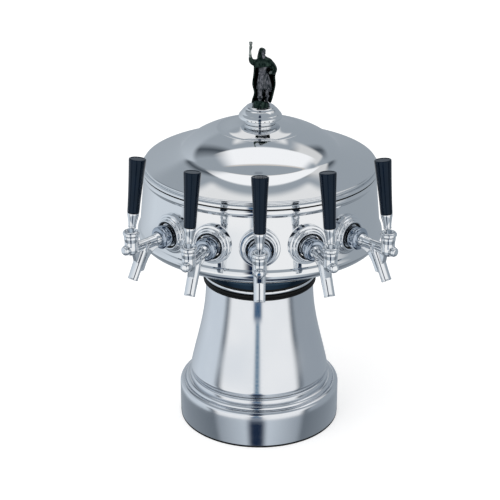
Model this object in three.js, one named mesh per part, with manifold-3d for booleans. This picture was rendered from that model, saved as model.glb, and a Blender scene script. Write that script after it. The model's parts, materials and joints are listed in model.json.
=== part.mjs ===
// A counter-top beer tower: a stepped base, a flared column, a round head with five taps across its
// front, a domed lid and a small standing figure. Millimetres, +Z up. The origin is on the tower's
// axis in the plane that it stands on, and the taps face -Y.
import * as THREE from "three";
import { mergeVertices } from "three/addons/utils/BufferGeometryUtils.js";
import Module from "manifold-3d";

const wasm = await Module();
wasm.setup();

// General clearances and sheet sizes
const SEAT_GAP = 0.3; // between pieces that rest on each other
const OVERRUN = 2; // how far a cutter reaches past what it cuts
const MERGE_DISTANCE = 0.001; // vertices nearer than this are one
const SHEET = 1.6; // wall of the spun shells

// How finely round things are cut
const LARGE_SIDES = 30;
const ESCUTCHEON_SIDES = 18;
const TAP_SIDES = 12;
const SMALL_SIDES = 8;
const LINE_SIDES = 6;
const ARC_STEPS = 3; // steps in a rounded corner
const CURVE_STEPS = 4; // steps in half of a long flare

// Base
const BASE_RADIUS = 118;
const BASE_WALL_HEIGHT = 50;
const BASE_SHOULDER = 7; // rounding at the top of the side
const BASE_GROOVE = 1.4; // width and depth of the turned groove
const BASE_BEAD = 5.4; // radius of the lower turned ring
const BASE_RING = 3.2; // radius of the upper turned ring
const BASE_STEP = 1.2; // small step between the two rings
const BASE_FOOT_FLANGE = 5; // width of the flange turned in under the cover
const GASKET_THICKNESS = 2.2;
const PLATE_THICKNESS = 8;
const HUB_RADIUS = 15;
const HUB_HEIGHT = 10;
const WINDOW_OUTER = 44; // the plate's openings for the lines
const WINDOW_INNER = 19;
const SPOKE_ANGLE = THREE.MathUtils.degToRad(16);
const SCREW_INSET = 23; // from the cover's side in to the screws
const SCREW_HOLE = 3.5;
const SCREW_COUNT = 4;

// Column
const COLUMN_FOOT_INSET = 19.8; // from the base's side in to the column's foot
const COLUMN_FOOT_RISE = 11; // from the foot up to the widest place
const COLUMN_BELLY = 2.8; // how far the widest place stands out beyond the foot
const NECK_RADIUS = 78.4;
const NECK_HEIGHT = 217;
const COLUMN_SLIM_SHARES = [0.39, 0.7]; // where the flare's two handles lie between neck and belly
const COLUMN_SWELL_SHARES = [-0.03, 0.63]; // how far out those handles stand
const COLUMN_SEAT = 9; // width of the ledge turned in at the neck
const CORE_RADIUS = 50;
const CORE_WALL = 3;
const CORE_RISE = 20; // how far the core tube reaches past the neck

// Neck rings, from the column up to the head
const NECK_BORE = 66;
const BAND_RADIUS = 82;
const BAND_HEIGHT = 8;
const BEAD_RADIUS = 82.6;
const BEAD_HEIGHT = 6.6;
const BEAD_BULGE = 3.3;
const COLLAR_RADIUS = 84;
const COLLAR_TOP_RADIUS = 89;
const COLLAR_HEIGHT = 16.8;

// Head
const HEAD_HEIGHT = 139; // from its floor to the top of its rim
const HEAD_RIM_RADIUS = 167.4;
const HEAD_RIM_ROLL = 3.1; // how far the rim stands out from the wall's top
const HEAD_WALL_LEAN = 7.9; // how much wider the wall is at its foot
const HEAD_RIM_BEAD = 10; // height of the rolled bead under the lid
const HEAD_BOWL_DEPTH = 40; // from the floor up to the rolled lower rim
const HEAD_ROLL_HEIGHT = 16; // height of the rolled lower rim
const HEAD_ROLL = 3.1; // how far that rim stands out from the wall
const HEAD_FLOOR_RADIUS = 90;
const HEAD_FLOOR_BORE = 54;
const HEAD_LEDGE = 9; // width of the ledge that the lid rests on
const LID_GASKET = 1.6;

// Lid
const LID_RISE = 64.8; // from its edge to its crown
const LID_CROWN_RADIUS = 22;
const LID_CAP_RADIUS = 61.4; // the crease round the small bell under the finial
const LID_CAP_RISE = 57.9;
const LID_SHOULDER_RADIUS = 100; // where the dome turns into the brim
const LID_SHOULDER_RISE = 38.4;
const LID_BRIM_INSET = 4.4; // from the rim in to the brim's end
const LID_BRIM_RISE = 9.3;
const LID_EDGE = 5; // height of the upright edge
// Where the handles of the lid's three curves lie on the way from each curve's start to its end
const LID_CAP_OUT_SHARES = [0.41, 0.61];
const LID_CAP_DROP_SHARES = [0.1, 0.96];
const LID_DOME_OUT_SHARES = [0.22, 0.69];
const LID_DOME_DROP_SHARES = [0.08, 0.48];
const LID_FLARE_OUT_SHARES = [0.16, 0.6];
const LID_FLARE_DROP_SHARES = [0.3, 0.75];

// Finial and tie rod
const FINIAL_HEIGHT = 24.7;
const FINIAL_NECK_RADIUS = 22;
const FINIAL_RING_RADIUS = 31.2;
const FINIAL_TOP_RADIUS = 16.4;
const FINIAL_NECK_SHARE = 0.28;
// The finial's outline above its neck, as shares of its ring's radius and of its height
const FINIAL_STEP_SHARES = [
  [0.95, 0.31], [1, 0.36], [0.92, 0.56], [0.88, 0.59], [0.73, 0.83], [0.69, 0.86], [0.55, 0.98],
];
const ROD_RADIUS = 5;
const ROD_ENTRY = 16; // how far the rod goes into the finial
const ROD_NUT_RADIUS = 9;
const ROD_NUT_HEIGHT = 8;

// Figure
const FIGURE_HEIGHT = 80; // from its foot to the top of its head
const FIGURE_PLINTH = 3;
const FIGURE_PLINTH_RADIUS = 13;
const FIGURE_OFFSET = 4.2; // its weight rests a little to one side
const FIGURE_HEAD_OFFSET = 3;
const FIGURE_HALF_WIDTH = 15; // of the robe at its widest
const FIGURE_DEPTH_SHARE = 0.74;
const FIGURE_ROBE_SHARES = [
  [0.78, 0], [0.86, 0.1], [0.82, 0.3], [0.9, 0.45], [0.76, 0.62], [0.84, 0.74], [0.74, 0.82],
  [0.34, 0.86], [0.24, 0.9],
];
const FIGURE_HEAD_RADIUS = 5.2;
const FIGURE_ARM_RADIUS = 3.3;
const FIGURE_WRIST_RADIUS = 1.8;
const FIGURE_CUP_RADIUS = 3;
const FIGURE_CUP_HEIGHT = 6;
const FIGURE_REACH = 11; // how far the raised cup stands above the head
const FIGURE_CLOAK = 5; // thickness of the cloak behind the back
// Places in the figure: sideways and back as shares of its half width, up as a share of its body
const SHOULDER_SHARES = [-0.6, 0, 0.79];
const ELBOW_SHARES = [-1.12, -0.15, 0.81];
const RAISED_HAND_SHARES = [-1.2, -0.2, 1];
const FAR_SHOULDER_SHARES = [0.66, 0, 0.78];
const FAR_ELBOW_SHARES = [1.02, 0.1, 0.61];
const FAR_HAND_SHARES = [0.6, -0.7, 0.6];
const CLOAK_MIDDLE_SHARES = [0, 0.55, 0.36];
const CLOAK_WIDTH_SHARE = 1.5;
const CLOAK_HEIGHT_SHARE = 0.72;

// Taps
const TAP_RISE = 88.4; // the taps' axes above the head's floor
const TAP_COUNT = 5;
const TAP_SPACING = THREE.MathUtils.degToRad(22.1);
const SHANK_RADIUS = 11;
const SHANK_BORE = 4;
const SHANK_TAIL = 36.3; // from the wall's top in to the shank's tail
const SHANK_FACE = 7; // the shank's face ahead of the nut's back
const SHANK_HOLE_GAP = 0.5;
const SHANK_COLLAR_RADIUS = 14.5;
const SHANK_COLLAR_WIDTH = 1.5;
const SHANK_NUT_RADIUS = 17;
const SHANK_NUT_WIDTH = 6;
const ESCUTCHEON_RADIUS = 27.6;
const ESCUTCHEON_STEP_RADIUS = 23.6;
const ESCUTCHEON_LIP_RADIUS = 19.4;
const ESCUTCHEON_CUP_RADIUS = 16.8;
const ESCUTCHEON_STAND = 1.4; // the flange's face ahead of the wall's foot
const ESCUTCHEON_STEP_HEIGHT = 2.8; // these three are measured from the flange's face
const ESCUTCHEON_LIP_HEIGHT = 6.4;
const ESCUTCHEON_FLOOR_HEIGHT = 3.2;
const NUT_RADIUS = 15.4;
const NUT_ENTRY = 1; // how far the nut reaches into the escutcheon's cup
const NUT_WIDTH = 17;
const NUT_LIP = 5.5; // length of the lip that holds the faucet's tail
const NUT_CHAMFER = 1.6;
const TAIL_FLANGE_RADIUS = 10.4;
const TAIL_FLANGE_WIDTH = 3.2;
const TAIL_RADIUS = 8.8;
const BODY_WAIST_RADIUS = 7.6;
const BODY_BORE = 5;
const BODY_BORE_PAST = 7.4; // how far the body's bore runs past the barrel's axis
const BODY_LENGTH = 57; // from the shank's face to the upright barrel's axis
const BARREL_RADIUS = 8.3;
const BARREL_BORE = 6.2;
const NOSE_RADIUS = 7.2;
const NOSE_LENGTH = 15; // from the barrel's axis
const NOSE_TIP_SHARE = 0.72;
const SPOUT_RADIUS = 6.8;
const SPOUT_BORE = 4.4;
const SPOUT_DROP = 45.2; // from the body's axis down to the spout's mouth
const SPOUT_LEAN = THREE.MathUtils.degToRad(27);
const WEB_HALF_WIDTH = 4;
const WEB_CLEARANCE = 2; // between the nut and the web
// The web's outline under the body: out on the way to the barrel, and down as far as the spout
const WEB_SIDE_SHARES = [
  [0, -0.09], [0, 0.21], [0.155, 0.257], [0.29, 0.323], [0.41, 0.44], [0.51, 0.6], [0.61, 0.8],
  [0.8, 0.8], [0.93, 0.22], [0.93, -0.09],
];
const PIVOT_RISE = 15.3; // the lever's pivot above the body's axis
const BALL_RADIUS = 5.8;
const STUB_RADIUS = 1.8;
const STUB_LENGTH = 16.6;
const LEVER_LEAN = THREE.MathUtils.degToRad(8);
const LEVER_NECK_RADIUS = 3;
const FERRULE_START = 14.5; // along the lever, from its pivot
const FERRULE_END = 35;
const FERRULE_FOOT_RADIUS = 5.2;
const FERRULE_TOP_RADIUS = 7.6;
const STUD_LENGTH = 15;
const BONNET_START = 4; // above the pivot
const BONNET_HEIGHT = 7;
const BONNET_RADIUS = 8.7;
const BONNET_FLANGE_RADIUS = 9.8;
const BONNET_MOUTH_RADIUS = 5.4;
const BONNET_LIP = 0.9;
const HANDLE_LENGTH = 73;
const HANDLE_FOOT_RADIUS = 8.2;
const HANDLE_TOP_RADIUS = 11.2;
const HANDLE_ROUNDING = 1.4;
const SHAFT_RADIUS = 2.5;
const SHAFT_START = 16; // from the shank's face to the valve shaft's end
const SEAT_WASHER_RADIUS = 4.6;
const SEAT_WASHER_WIDTH = 4;
const EYE_LENGTH = 8.4;
const EYE_HALF_WIDTH = 4.1;
const EYE_HALF_THICKNESS = 2.1;
const EYE_HOLE = 3.3;
const LINE_RADIUS = 4.75;
const LINE_BORE = 3.2;
const LINE_CIRCLE = 28; // where the lines stand in the core tube
const LINE_FAN_SHARE = 1.6; // the angle between them there, as a share of that between the taps
const LINE_STRAIGHT = 36; // straight stretch behind the shank
const LINE_BEND = 80; // height of the bend
const LINE_END_RISE = 12; // the lines' ends above the base plate
const LINE_STEPS = 11;

// Places worked out from the sizes; a distance named OUT is measured from the tower's axis
const BASE_SHELF = BASE_WALL_HEIGHT + BASE_SHOULDER;
const COVER_TOP = BASE_SHELF + BASE_BEAD + BASE_STEP + 2 * BASE_RING;
const SCREW_CIRCLE = BASE_RADIUS - SCREW_INSET;
const COLUMN_FOOT = COVER_TOP + SEAT_GAP;
const COLUMN_FOOT_RADIUS = BASE_RADIUS - COLUMN_FOOT_INSET;
const COLUMN_BELLY_RADIUS = COLUMN_FOOT_RADIUS + COLUMN_BELLY;
const BAND_FOOT = NECK_HEIGHT + SEAT_GAP;
const BEAD_FOOT = BAND_FOOT + BAND_HEIGHT + SEAT_GAP;
const COLLAR_FOOT = BEAD_FOOT + BEAD_HEIGHT + SEAT_GAP;
const HEAD_FLOOR = COLLAR_FOOT + COLLAR_HEIGHT + SEAT_GAP;
const HEAD_TOP = HEAD_FLOOR + HEAD_HEIGHT;
const HEAD_WALL_TOP_RADIUS = HEAD_RIM_RADIUS - HEAD_RIM_ROLL;
const HEAD_WALL_FOOT_RADIUS = HEAD_WALL_TOP_RADIUS + HEAD_WALL_LEAN;
const LID_FOOT = HEAD_TOP + LID_GASKET + 2 * SEAT_GAP;
const LID_BRIM_RADIUS = HEAD_RIM_RADIUS - LID_BRIM_INSET;
const LID_TOP = LID_FOOT + LID_RISE;
const FINIAL_FOOT = LID_TOP + SEAT_GAP;
const FINIAL_TOP = FINIAL_FOOT + FINIAL_HEIGHT;
const FIGURE_FOOT = FINIAL_TOP + SEAT_GAP;
const TAP_HEIGHT = HEAD_FLOOR + TAP_RISE;
const ESCUTCHEON_RIM_OUT = HEAD_WALL_FOOT_RADIUS + ESCUTCHEON_STAND;
const ESCUTCHEON_STEP_OUT = ESCUTCHEON_RIM_OUT + ESCUTCHEON_STEP_HEIGHT;
const ESCUTCHEON_LIP_OUT = ESCUTCHEON_RIM_OUT + ESCUTCHEON_LIP_HEIGHT;
const ESCUTCHEON_FLOOR_OUT = ESCUTCHEON_RIM_OUT + ESCUTCHEON_FLOOR_HEIGHT;
const NUT_BACK_OUT = ESCUTCHEON_LIP_OUT - NUT_ENTRY;
const SHANK_TAIL_OUT = HEAD_WALL_TOP_RADIUS - SHANK_TAIL;
const SHANK_FACE_OUT = NUT_BACK_OUT + SHANK_FACE;
const BARREL_OUT = SHANK_FACE_OUT + BODY_LENGTH;
const BODY_BORE_END_OUT = BARREL_OUT + BODY_BORE_PAST;
const NOSE_OUT = BARREL_OUT + NOSE_LENGTH;
const SHAFT_BACK_OUT = SHANK_FACE_OUT + SHAFT_START;
const EYE_OUT = BARREL_OUT + PIVOT_RISE * Math.sin(LEVER_LEAN);

// Materials
const chrome = finish(0xd9dde2, 0.08, 1);
const polishedSteel = finish(0xc9ced6, 0.14, 1);
const brushedSteel = finish(0xb9bec6, 0.3, 1);
const darkTrim = finish(0x15181a, 0.45, 0);
const rubber = finish(0x1a1a1a, 0.85, 0);
const foam = finish(0xd8cf9a, 0.95, 0);
const castIron = finish(0x4a4d50, 0.6, 1);
const bronze = finish(0x27302c, 0.4, 1);
const blackPlastic = finish(0x0d1116, 0.22, 0);
const whitePlastic = finish(0xe6e4dc, 0.5, 0);

function finish(color, roughness, metalness) {
  return new THREE.MeshStandardMaterial({ color, roughness, metalness });
}

// Outlines are lists of points (radius, height).
function at(radius, height) {
  return new THREE.Vector2(radius, height);
}

function arc(radius, height, size, from, to, steps) {
  return Array.from({ length: steps + 1 }, (_, i) => {
    const angle = THREE.MathUtils.degToRad(from + ((to - from) * i) / steps);
    return at(radius + size * Math.cos(angle), height + size * Math.sin(angle));
  });
}

function bezier(start, first, second, end, steps) {
  return new THREE.CubicBezierCurve(start, first, second, end).getPoints(steps);
}

// A curve whose two handles lie at shares of the way from its start to its end.
function between(start, end, outShares, dropShares, steps) {
  const [first, second] = [0, 1].map((i) => at(
    start.x + (end.x - start.x) * outShares[i],
    start.y + (end.y - start.y) * dropShares[i],
  ));
  return bezier(start, first, second, end, steps);
}

// The same outline moved sideways by a distance, to its left as it runs.
function offset(outline, distance) {
  return outline.map((point, i) => {
    const before = outline[Math.max(i - 1, 0)];
    const after = outline[Math.min(i + 1, outline.length - 1)];
    const along = after.clone().sub(before).normalize();
    return at(point.x - along.y * distance, point.y + along.x * distance);
  });
}

// A turned body about Z. Its outline runs round with the metal on its left, or from axis to axis.
function turned(outline, sides) {
  const points = outline.slice();
  const area = points.reduce((sum, p, i) => sum + p.cross(points[(i + 1) % points.length]), 0);
  if (area < 0) points.reverse();
  const closed = points[0].x > 0 || points[points.length - 1].x > 0;
  if (closed) points.push(points[0]);
  return new THREE.LatheGeometry(points, sides).rotateX(Math.PI / 2);
}

// A turned body about a tap's own axis, which points out of the tower along -Y.
function turnedOutward(outline, sides) {
  return turned(outline, sides).rotateX(Math.PI / 2);
}

function ring(inner, outer, low, high) {
  return [at(inner, low), at(outer, low), at(outer, high), at(inner, high)];
}

function rod(radius, low, high) {
  return [at(0, low), at(radius, low), at(radius, high), at(0, high)];
}

function solid(geometry) {
  const bare = geometry.clone();
  bare.deleteAttribute("normal");
  bare.deleteAttribute("uv");
  const merged = mergeVertices(bare, MERGE_DISTANCE);
  const triVerts = new Uint32Array(merged.index.array);
  const vertProperties = merged.attributes.position.array;
  return new wasm.Manifold(new wasm.Mesh({ numProp: 3, vertProperties, triVerts }));
}

function surface(body) {
  const mesh = body.getMesh();
  const geometry = new THREE.BufferGeometry();
  geometry.setAttribute("position", new THREE.BufferAttribute(mesh.vertProperties, 3));
  geometry.setIndex(new THREE.BufferAttribute(mesh.triVerts, 1));
  geometry.computeVertexNormals();
  return geometry;
}

function joined(...geometries) {
  return geometries.map(solid).reduce((sum, next) => sum.add(next));
}

function cut(body, ...geometries) {
  return geometries.map(solid).reduce((rest, next) => rest.subtract(next), body);
}

function place(parent, name, geometry, material) {
  const mesh = new THREE.Mesh(geometry, material);
  mesh.name = name;
  parent.add(mesh);
  return mesh;
}

// Base

function baseCover() {
  const foot = GASKET_THICKNESS + SEAT_GAP;
  const shoulder = BASE_RADIUS - BASE_SHOULDER;
  const groove = shoulder - BASE_GROOVE;
  const bead = groove - BASE_BEAD;
  const ringRadius = bead - BASE_STEP;
  const inside = BASE_RADIUS - SHEET;
  const bore = COLUMN_FOOT_RADIUS - BASE_BEAD - SHEET;
  return turned([
    at(BASE_RADIUS - BASE_FOOT_FLANGE, foot),
    at(BASE_RADIUS, foot),
    ...arc(shoulder, BASE_WALL_HEIGHT, BASE_SHOULDER, 0, 90, ARC_STEPS),
    at(groove, BASE_SHELF - BASE_GROOVE),
    ...arc(bead, BASE_SHELF, BASE_BEAD, 0, 90, ARC_STEPS),
    at(ringRadius, BASE_SHELF + BASE_BEAD),
    ...arc(ringRadius - BASE_RING, COVER_TOP - BASE_RING, BASE_RING, 0, 90, ARC_STEPS - 1),
    at(bore, COVER_TOP),
    at(bore, COVER_TOP - SHEET),
    at(ringRadius - BASE_RING - SHEET, COVER_TOP - SHEET),
    at(ringRadius - SHEET, BASE_SHELF),
    at(bead, BASE_SHELF - BASE_GROOVE - SHEET),
    at(shoulder - SHEET, BASE_SHELF - BASE_GROOVE - SHEET),
    at(inside, BASE_WALL_HEIGHT - SHEET),
    at(inside, foot + SHEET),
    at(BASE_RADIUS - BASE_FOOT_FLANGE, foot + SHEET),
  ], LARGE_SIDES);
}

function baseGasket() {
  return turned(
    ring(BASE_RADIUS - BASE_FOOT_FLANGE, BASE_RADIUS - SEAT_GAP, 0, GASKET_THICKNESS),
    LARGE_SIDES,
  );
}

// One opening for the lines, between two spokes.
function lineWindow(from, to) {
  const shape = new THREE.Shape();
  shape.absarc(0, 0, WINDOW_OUTER, from, to, false);
  shape.absarc(0, 0, WINDOW_INNER, to, from, true);
  return new THREE.ExtrudeGeometry(shape, {
    depth: PLATE_THICKNESS + 2 * OVERRUN,
    bevelEnabled: false,
    curveSegments: CURVE_STEPS,
  }).translate(0, 0, -OVERRUN);
}

function screwHole(index) {
  const angle = ((index + 0.5) * 2 * Math.PI) / SCREW_COUNT;
  return turned(rod(SCREW_HOLE, -OVERRUN, PLATE_THICKNESS + OVERRUN), SMALL_SIDES)
    .translate(SCREW_CIRCLE * Math.cos(angle), SCREW_CIRCLE * Math.sin(angle), 0);
}

function basePlate() {
  const radius = BASE_RADIUS - BASE_FOOT_FLANGE - SEAT_GAP;
  const hubTop = PLATE_THICKNESS + HUB_HEIGHT;
  const blank = turned([
    at(0, 0),
    at(radius, 0),
    at(radius, PLATE_THICKNESS),
    at(HUB_RADIUS, PLATE_THICKNESS),
    at(HUB_RADIUS, hubTop),
    at(0, hubTop),
  ], LARGE_SIDES);
  const socket = turned(
    rod(ROD_RADIUS + SEAT_GAP, PLATE_THICKNESS - SEAT_GAP, hubTop + OVERRUN),
    TAP_SIDES,
  );
  const half = SPOKE_ANGLE / 2;
  const holes = Array.from({ length: SCREW_COUNT }, (_, i) => screwHole(i));
  return surface(cut(
    solid(blank),
    socket,
    lineWindow(Math.PI + half, 2 * Math.PI - half),
    lineWindow(half, Math.PI / 2 - half),
    lineWindow(Math.PI / 2 + half, Math.PI - half),
    ...holes,
  ));
}

function tieRod() {
  const nutFoot = PLATE_THICKNESS + HUB_HEIGHT + SEAT_GAP;
  const long = turned(rod(ROD_RADIUS, PLATE_THICKNESS, FINIAL_FOOT + ROD_ENTRY), TAP_SIDES);
  const nut = turned(rod(ROD_NUT_RADIUS, nutFoot, nutFoot + ROD_NUT_HEIGHT), 6);
  return surface(joined(long, nut));
}

// Column

function columnFlare(steps) {
  const belly = COLUMN_FOOT + COLUMN_FOOT_RISE;
  const height = (share) => NECK_HEIGHT + (belly - NECK_HEIGHT) * share;
  const radius = (share) => NECK_RADIUS + (COLUMN_BELLY_RADIUS - NECK_RADIUS) * share;
  return bezier(
    at(COLUMN_BELLY_RADIUS, belly),
    at(radius(COLUMN_SWELL_SHARES[1]), height(COLUMN_SLIM_SHARES[1])),
    at(radius(COLUMN_SWELL_SHARES[0]), height(COLUMN_SLIM_SHARES[0])),
    at(NECK_RADIUS, NECK_HEIGHT),
    steps,
  );
}

function columnShell() {
  const flare = columnFlare(2 * CURVE_STEPS - 1);
  const inner = offset(flare, SHEET).reverse();
  const ledge = NECK_RADIUS - COLUMN_SEAT;
  return turned([
    at(COLUMN_FOOT_RADIUS, COLUMN_FOOT),
    ...flare,
    at(ledge, NECK_HEIGHT),
    at(ledge, NECK_HEIGHT - SHEET),
    at(NECK_RADIUS - SHEET, NECK_HEIGHT - SHEET),
    ...inner.slice(1),
    at(COLUMN_FOOT_RADIUS - SHEET, COLUMN_FOOT),
  ], LARGE_SIDES);
}

function columnInsulation() {
  const inner = offset(columnFlare(2 * CURVE_STEPS - 1), SHEET + 2 * SEAT_GAP);
  const bore = CORE_RADIUS + 2 * SEAT_GAP;
  const top = NECK_HEIGHT - SHEET - SEAT_GAP;
  return turned([
    at(bore, COLUMN_FOOT),
    at(COLUMN_FOOT_RADIUS - SHEET - 2 * SEAT_GAP, COLUMN_FOOT),
    ...inner.slice(0, -1),
    at(NECK_RADIUS - SHEET - 2 * SEAT_GAP, top),
    at(bore, top),
  ], LARGE_SIDES);
}

function coreTube() {
  return turned(
    ring(CORE_RADIUS - CORE_WALL, CORE_RADIUS, PLATE_THICKNESS + SEAT_GAP, NECK_HEIGHT + CORE_RISE),
    LARGE_SIDES,
  );
}

// Neck rings

function neckGasket() {
  return turned(ring(NECK_BORE, BAND_RADIUS, BAND_FOOT, BAND_FOOT + BAND_HEIGHT), LARGE_SIDES);
}

function neckBeadRing() {
  const middle = BEAD_FOOT + BEAD_HEIGHT / 2;
  return turned([
    at(NECK_BORE, BEAD_FOOT),
    ...arc(BEAD_RADIUS - BEAD_BULGE, middle, BEAD_BULGE, -90, 90, ARC_STEPS),
    at(NECK_BORE, BEAD_FOOT + BEAD_HEIGHT),
  ], LARGE_SIDES);
}

function neckCollar() {
  const top = COLLAR_FOOT + COLLAR_HEIGHT;
  return turned([
    at(NECK_BORE, COLLAR_FOOT),
    at(COLLAR_RADIUS, COLLAR_FOOT),
    at(COLLAR_RADIUS, COLLAR_FOOT + COLLAR_HEIGHT / 3),
    at(COLLAR_TOP_RADIUS, COLLAR_FOOT + COLLAR_HEIGHT / 2),
    at(COLLAR_TOP_RADIUS, top),
    at(NECK_BORE, top),
  ], LARGE_SIDES);
}

// Head

// The outside of the head from its floor up to its rim.
function headOutside() {
  const rollFoot = HEAD_FLOOR + HEAD_BOWL_DEPTH;
  const wallFoot = rollFoot + HEAD_ROLL_HEIGHT;
  const rimFoot = HEAD_TOP - HEAD_RIM_BEAD;
  const roll = HEAD_WALL_FOOT_RADIUS + HEAD_ROLL;
  const edge = HEAD_RIM_BEAD / 5;
  return [
    at(HEAD_FLOOR_RADIUS, HEAD_FLOOR),
    at(HEAD_WALL_FOOT_RADIUS - HEAD_ROLL, rollFoot - HEAD_ROLL),
    at(HEAD_WALL_FOOT_RADIUS, rollFoot),
    at(roll, rollFoot + HEAD_ROLL_HEIGHT / 3),
    at(roll, wallFoot - HEAD_ROLL_HEIGHT / 4),
    at(HEAD_WALL_FOOT_RADIUS, wallFoot),
    at(HEAD_WALL_TOP_RADIUS, rimFoot),
    at(HEAD_RIM_RADIUS, rimFoot + edge),
    at(HEAD_RIM_RADIUS, HEAD_TOP - edge),
    at(HEAD_RIM_RADIUS - edge / 2, HEAD_TOP),
  ];
}

// The inside of the wall, from the floor up to the ledge.
function headInside() {
  const rollFoot = HEAD_FLOOR + HEAD_BOWL_DEPTH;
  return [
    at(HEAD_FLOOR_RADIUS, HEAD_FLOOR + SHEET),
    at(HEAD_WALL_FOOT_RADIUS - HEAD_ROLL - SHEET, rollFoot - HEAD_ROLL + SHEET),
    at(HEAD_WALL_FOOT_RADIUS - SHEET, rollFoot + SHEET),
    at(HEAD_WALL_FOOT_RADIUS - SHEET, rollFoot + HEAD_ROLL_HEIGHT),
    at(HEAD_WALL_TOP_RADIUS - SHEET, HEAD_TOP - HEAD_RIM_BEAD),
    at(HEAD_WALL_TOP_RADIUS - SHEET, HEAD_TOP - SHEET),
  ];
}

function headShell() {
  const ledge = HEAD_RIM_RADIUS - HEAD_LEDGE;
  const shell = turned([
    at(HEAD_FLOOR_BORE, HEAD_FLOOR),
    ...headOutside(),
    at(ledge, HEAD_TOP),
    at(ledge, HEAD_TOP - SHEET),
    ...headInside().reverse(),
    at(HEAD_FLOOR_BORE, HEAD_FLOOR + SHEET),
  ], LARGE_SIDES);
  const hole = rod(SHANK_RADIUS + SHANK_HOLE_GAP, SHANK_TAIL_OUT, ESCUTCHEON_LIP_OUT);
  const holes = tapAngles().map((angle) =>
    turnedOutward(hole, TAP_SIDES).rotateZ(angle).translate(0, 0, TAP_HEIGHT));
  return surface(cut(solid(shell), ...holes));
}

function lidGasket() {
  const foot = HEAD_TOP + SEAT_GAP;
  return turned(
    ring(HEAD_RIM_RADIUS - HEAD_LEDGE, HEAD_RIM_RADIUS - SHEET, foot, foot + LID_GASKET),
    LARGE_SIDES,
  );
}

// Lid

function lidOutside() {
  const crown = at(LID_CROWN_RADIUS, LID_TOP);
  const cap = at(LID_CAP_RADIUS, LID_FOOT + LID_CAP_RISE);
  const shoulder = at(LID_SHOULDER_RADIUS, LID_FOOT + LID_SHOULDER_RISE);
  const brim = at(LID_BRIM_RADIUS, LID_FOOT + LID_BRIM_RISE);
  return [
    ...between(crown, cap, LID_CAP_OUT_SHARES, LID_CAP_DROP_SHARES, CURVE_STEPS),
    ...between(cap, shoulder, LID_DOME_OUT_SHARES, LID_DOME_DROP_SHARES, CURVE_STEPS).slice(1),
    ...between(shoulder, brim, LID_FLARE_OUT_SHARES, LID_FLARE_DROP_SHARES, ARC_STEPS).slice(1),
    at(HEAD_RIM_RADIUS, LID_FOOT + LID_EDGE),
    at(HEAD_RIM_RADIUS, LID_FOOT),
  ];
}

function lidDome() {
  const outside = lidOutside();
  const hole = ROD_RADIUS + SHANK_HOLE_GAP;
  const ledge = HEAD_RIM_RADIUS - HEAD_LEDGE;
  const inside = offset(outside.slice(0, -2), -SHEET).reverse();
  return turned([
    at(hole, LID_TOP - SHEET),
    at(hole, LID_TOP),
    ...outside,
    at(ledge, LID_FOOT),
    at(ledge, LID_FOOT + SHEET),
    at(HEAD_RIM_RADIUS - SHEET, LID_FOOT + SHEET),
    ...inside,
  ], LARGE_SIDES);
}

// Finial and figure

function finialBase() {
  const steps = FINIAL_STEP_SHARES.map(([out, up]) =>
    at(FINIAL_RING_RADIUS * out, FINIAL_FOOT + FINIAL_HEIGHT * up));
  const blank = turned([
    at(0, FINIAL_FOOT),
    at(FINIAL_NECK_RADIUS, FINIAL_FOOT),
    at(FINIAL_NECK_RADIUS, FINIAL_FOOT + FINIAL_HEIGHT * FINIAL_NECK_SHARE),
    ...steps,
    at(FINIAL_TOP_RADIUS, FINIAL_TOP),
    at(0, FINIAL_TOP),
  ], LARGE_SIDES);
  const socket = rod(ROD_RADIUS + SEAT_GAP, FINIAL_FOOT - OVERRUN, FINIAL_FOOT + ROD_ENTRY + SEAT_GAP);
  return surface(cut(solid(blank), turned(socket, TAP_SIDES)));
}

// A round limb between two points, thicker at its start.
function limb(start, end, startRadius, endRadius) {
  const along = end.clone().sub(start);
  const geometry = new THREE.CylinderGeometry(endRadius, startRadius, along.length(), SMALL_SIDES);
  const turn = new THREE.Quaternion().setFromUnitVectors(
    new THREE.Vector3(0, 1, 0),
    along.clone().normalize(),
  );
  const middle = start.clone().add(end).multiplyScalar(0.5);
  return geometry.applyQuaternion(turn).translate(middle.x, middle.y, middle.z);
}

function ball(radius, centre) {
  return new THREE.SphereGeometry(radius, SMALL_SIDES, LINE_SIDES)
    .translate(centre.x, centre.y, centre.z);
}

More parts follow.
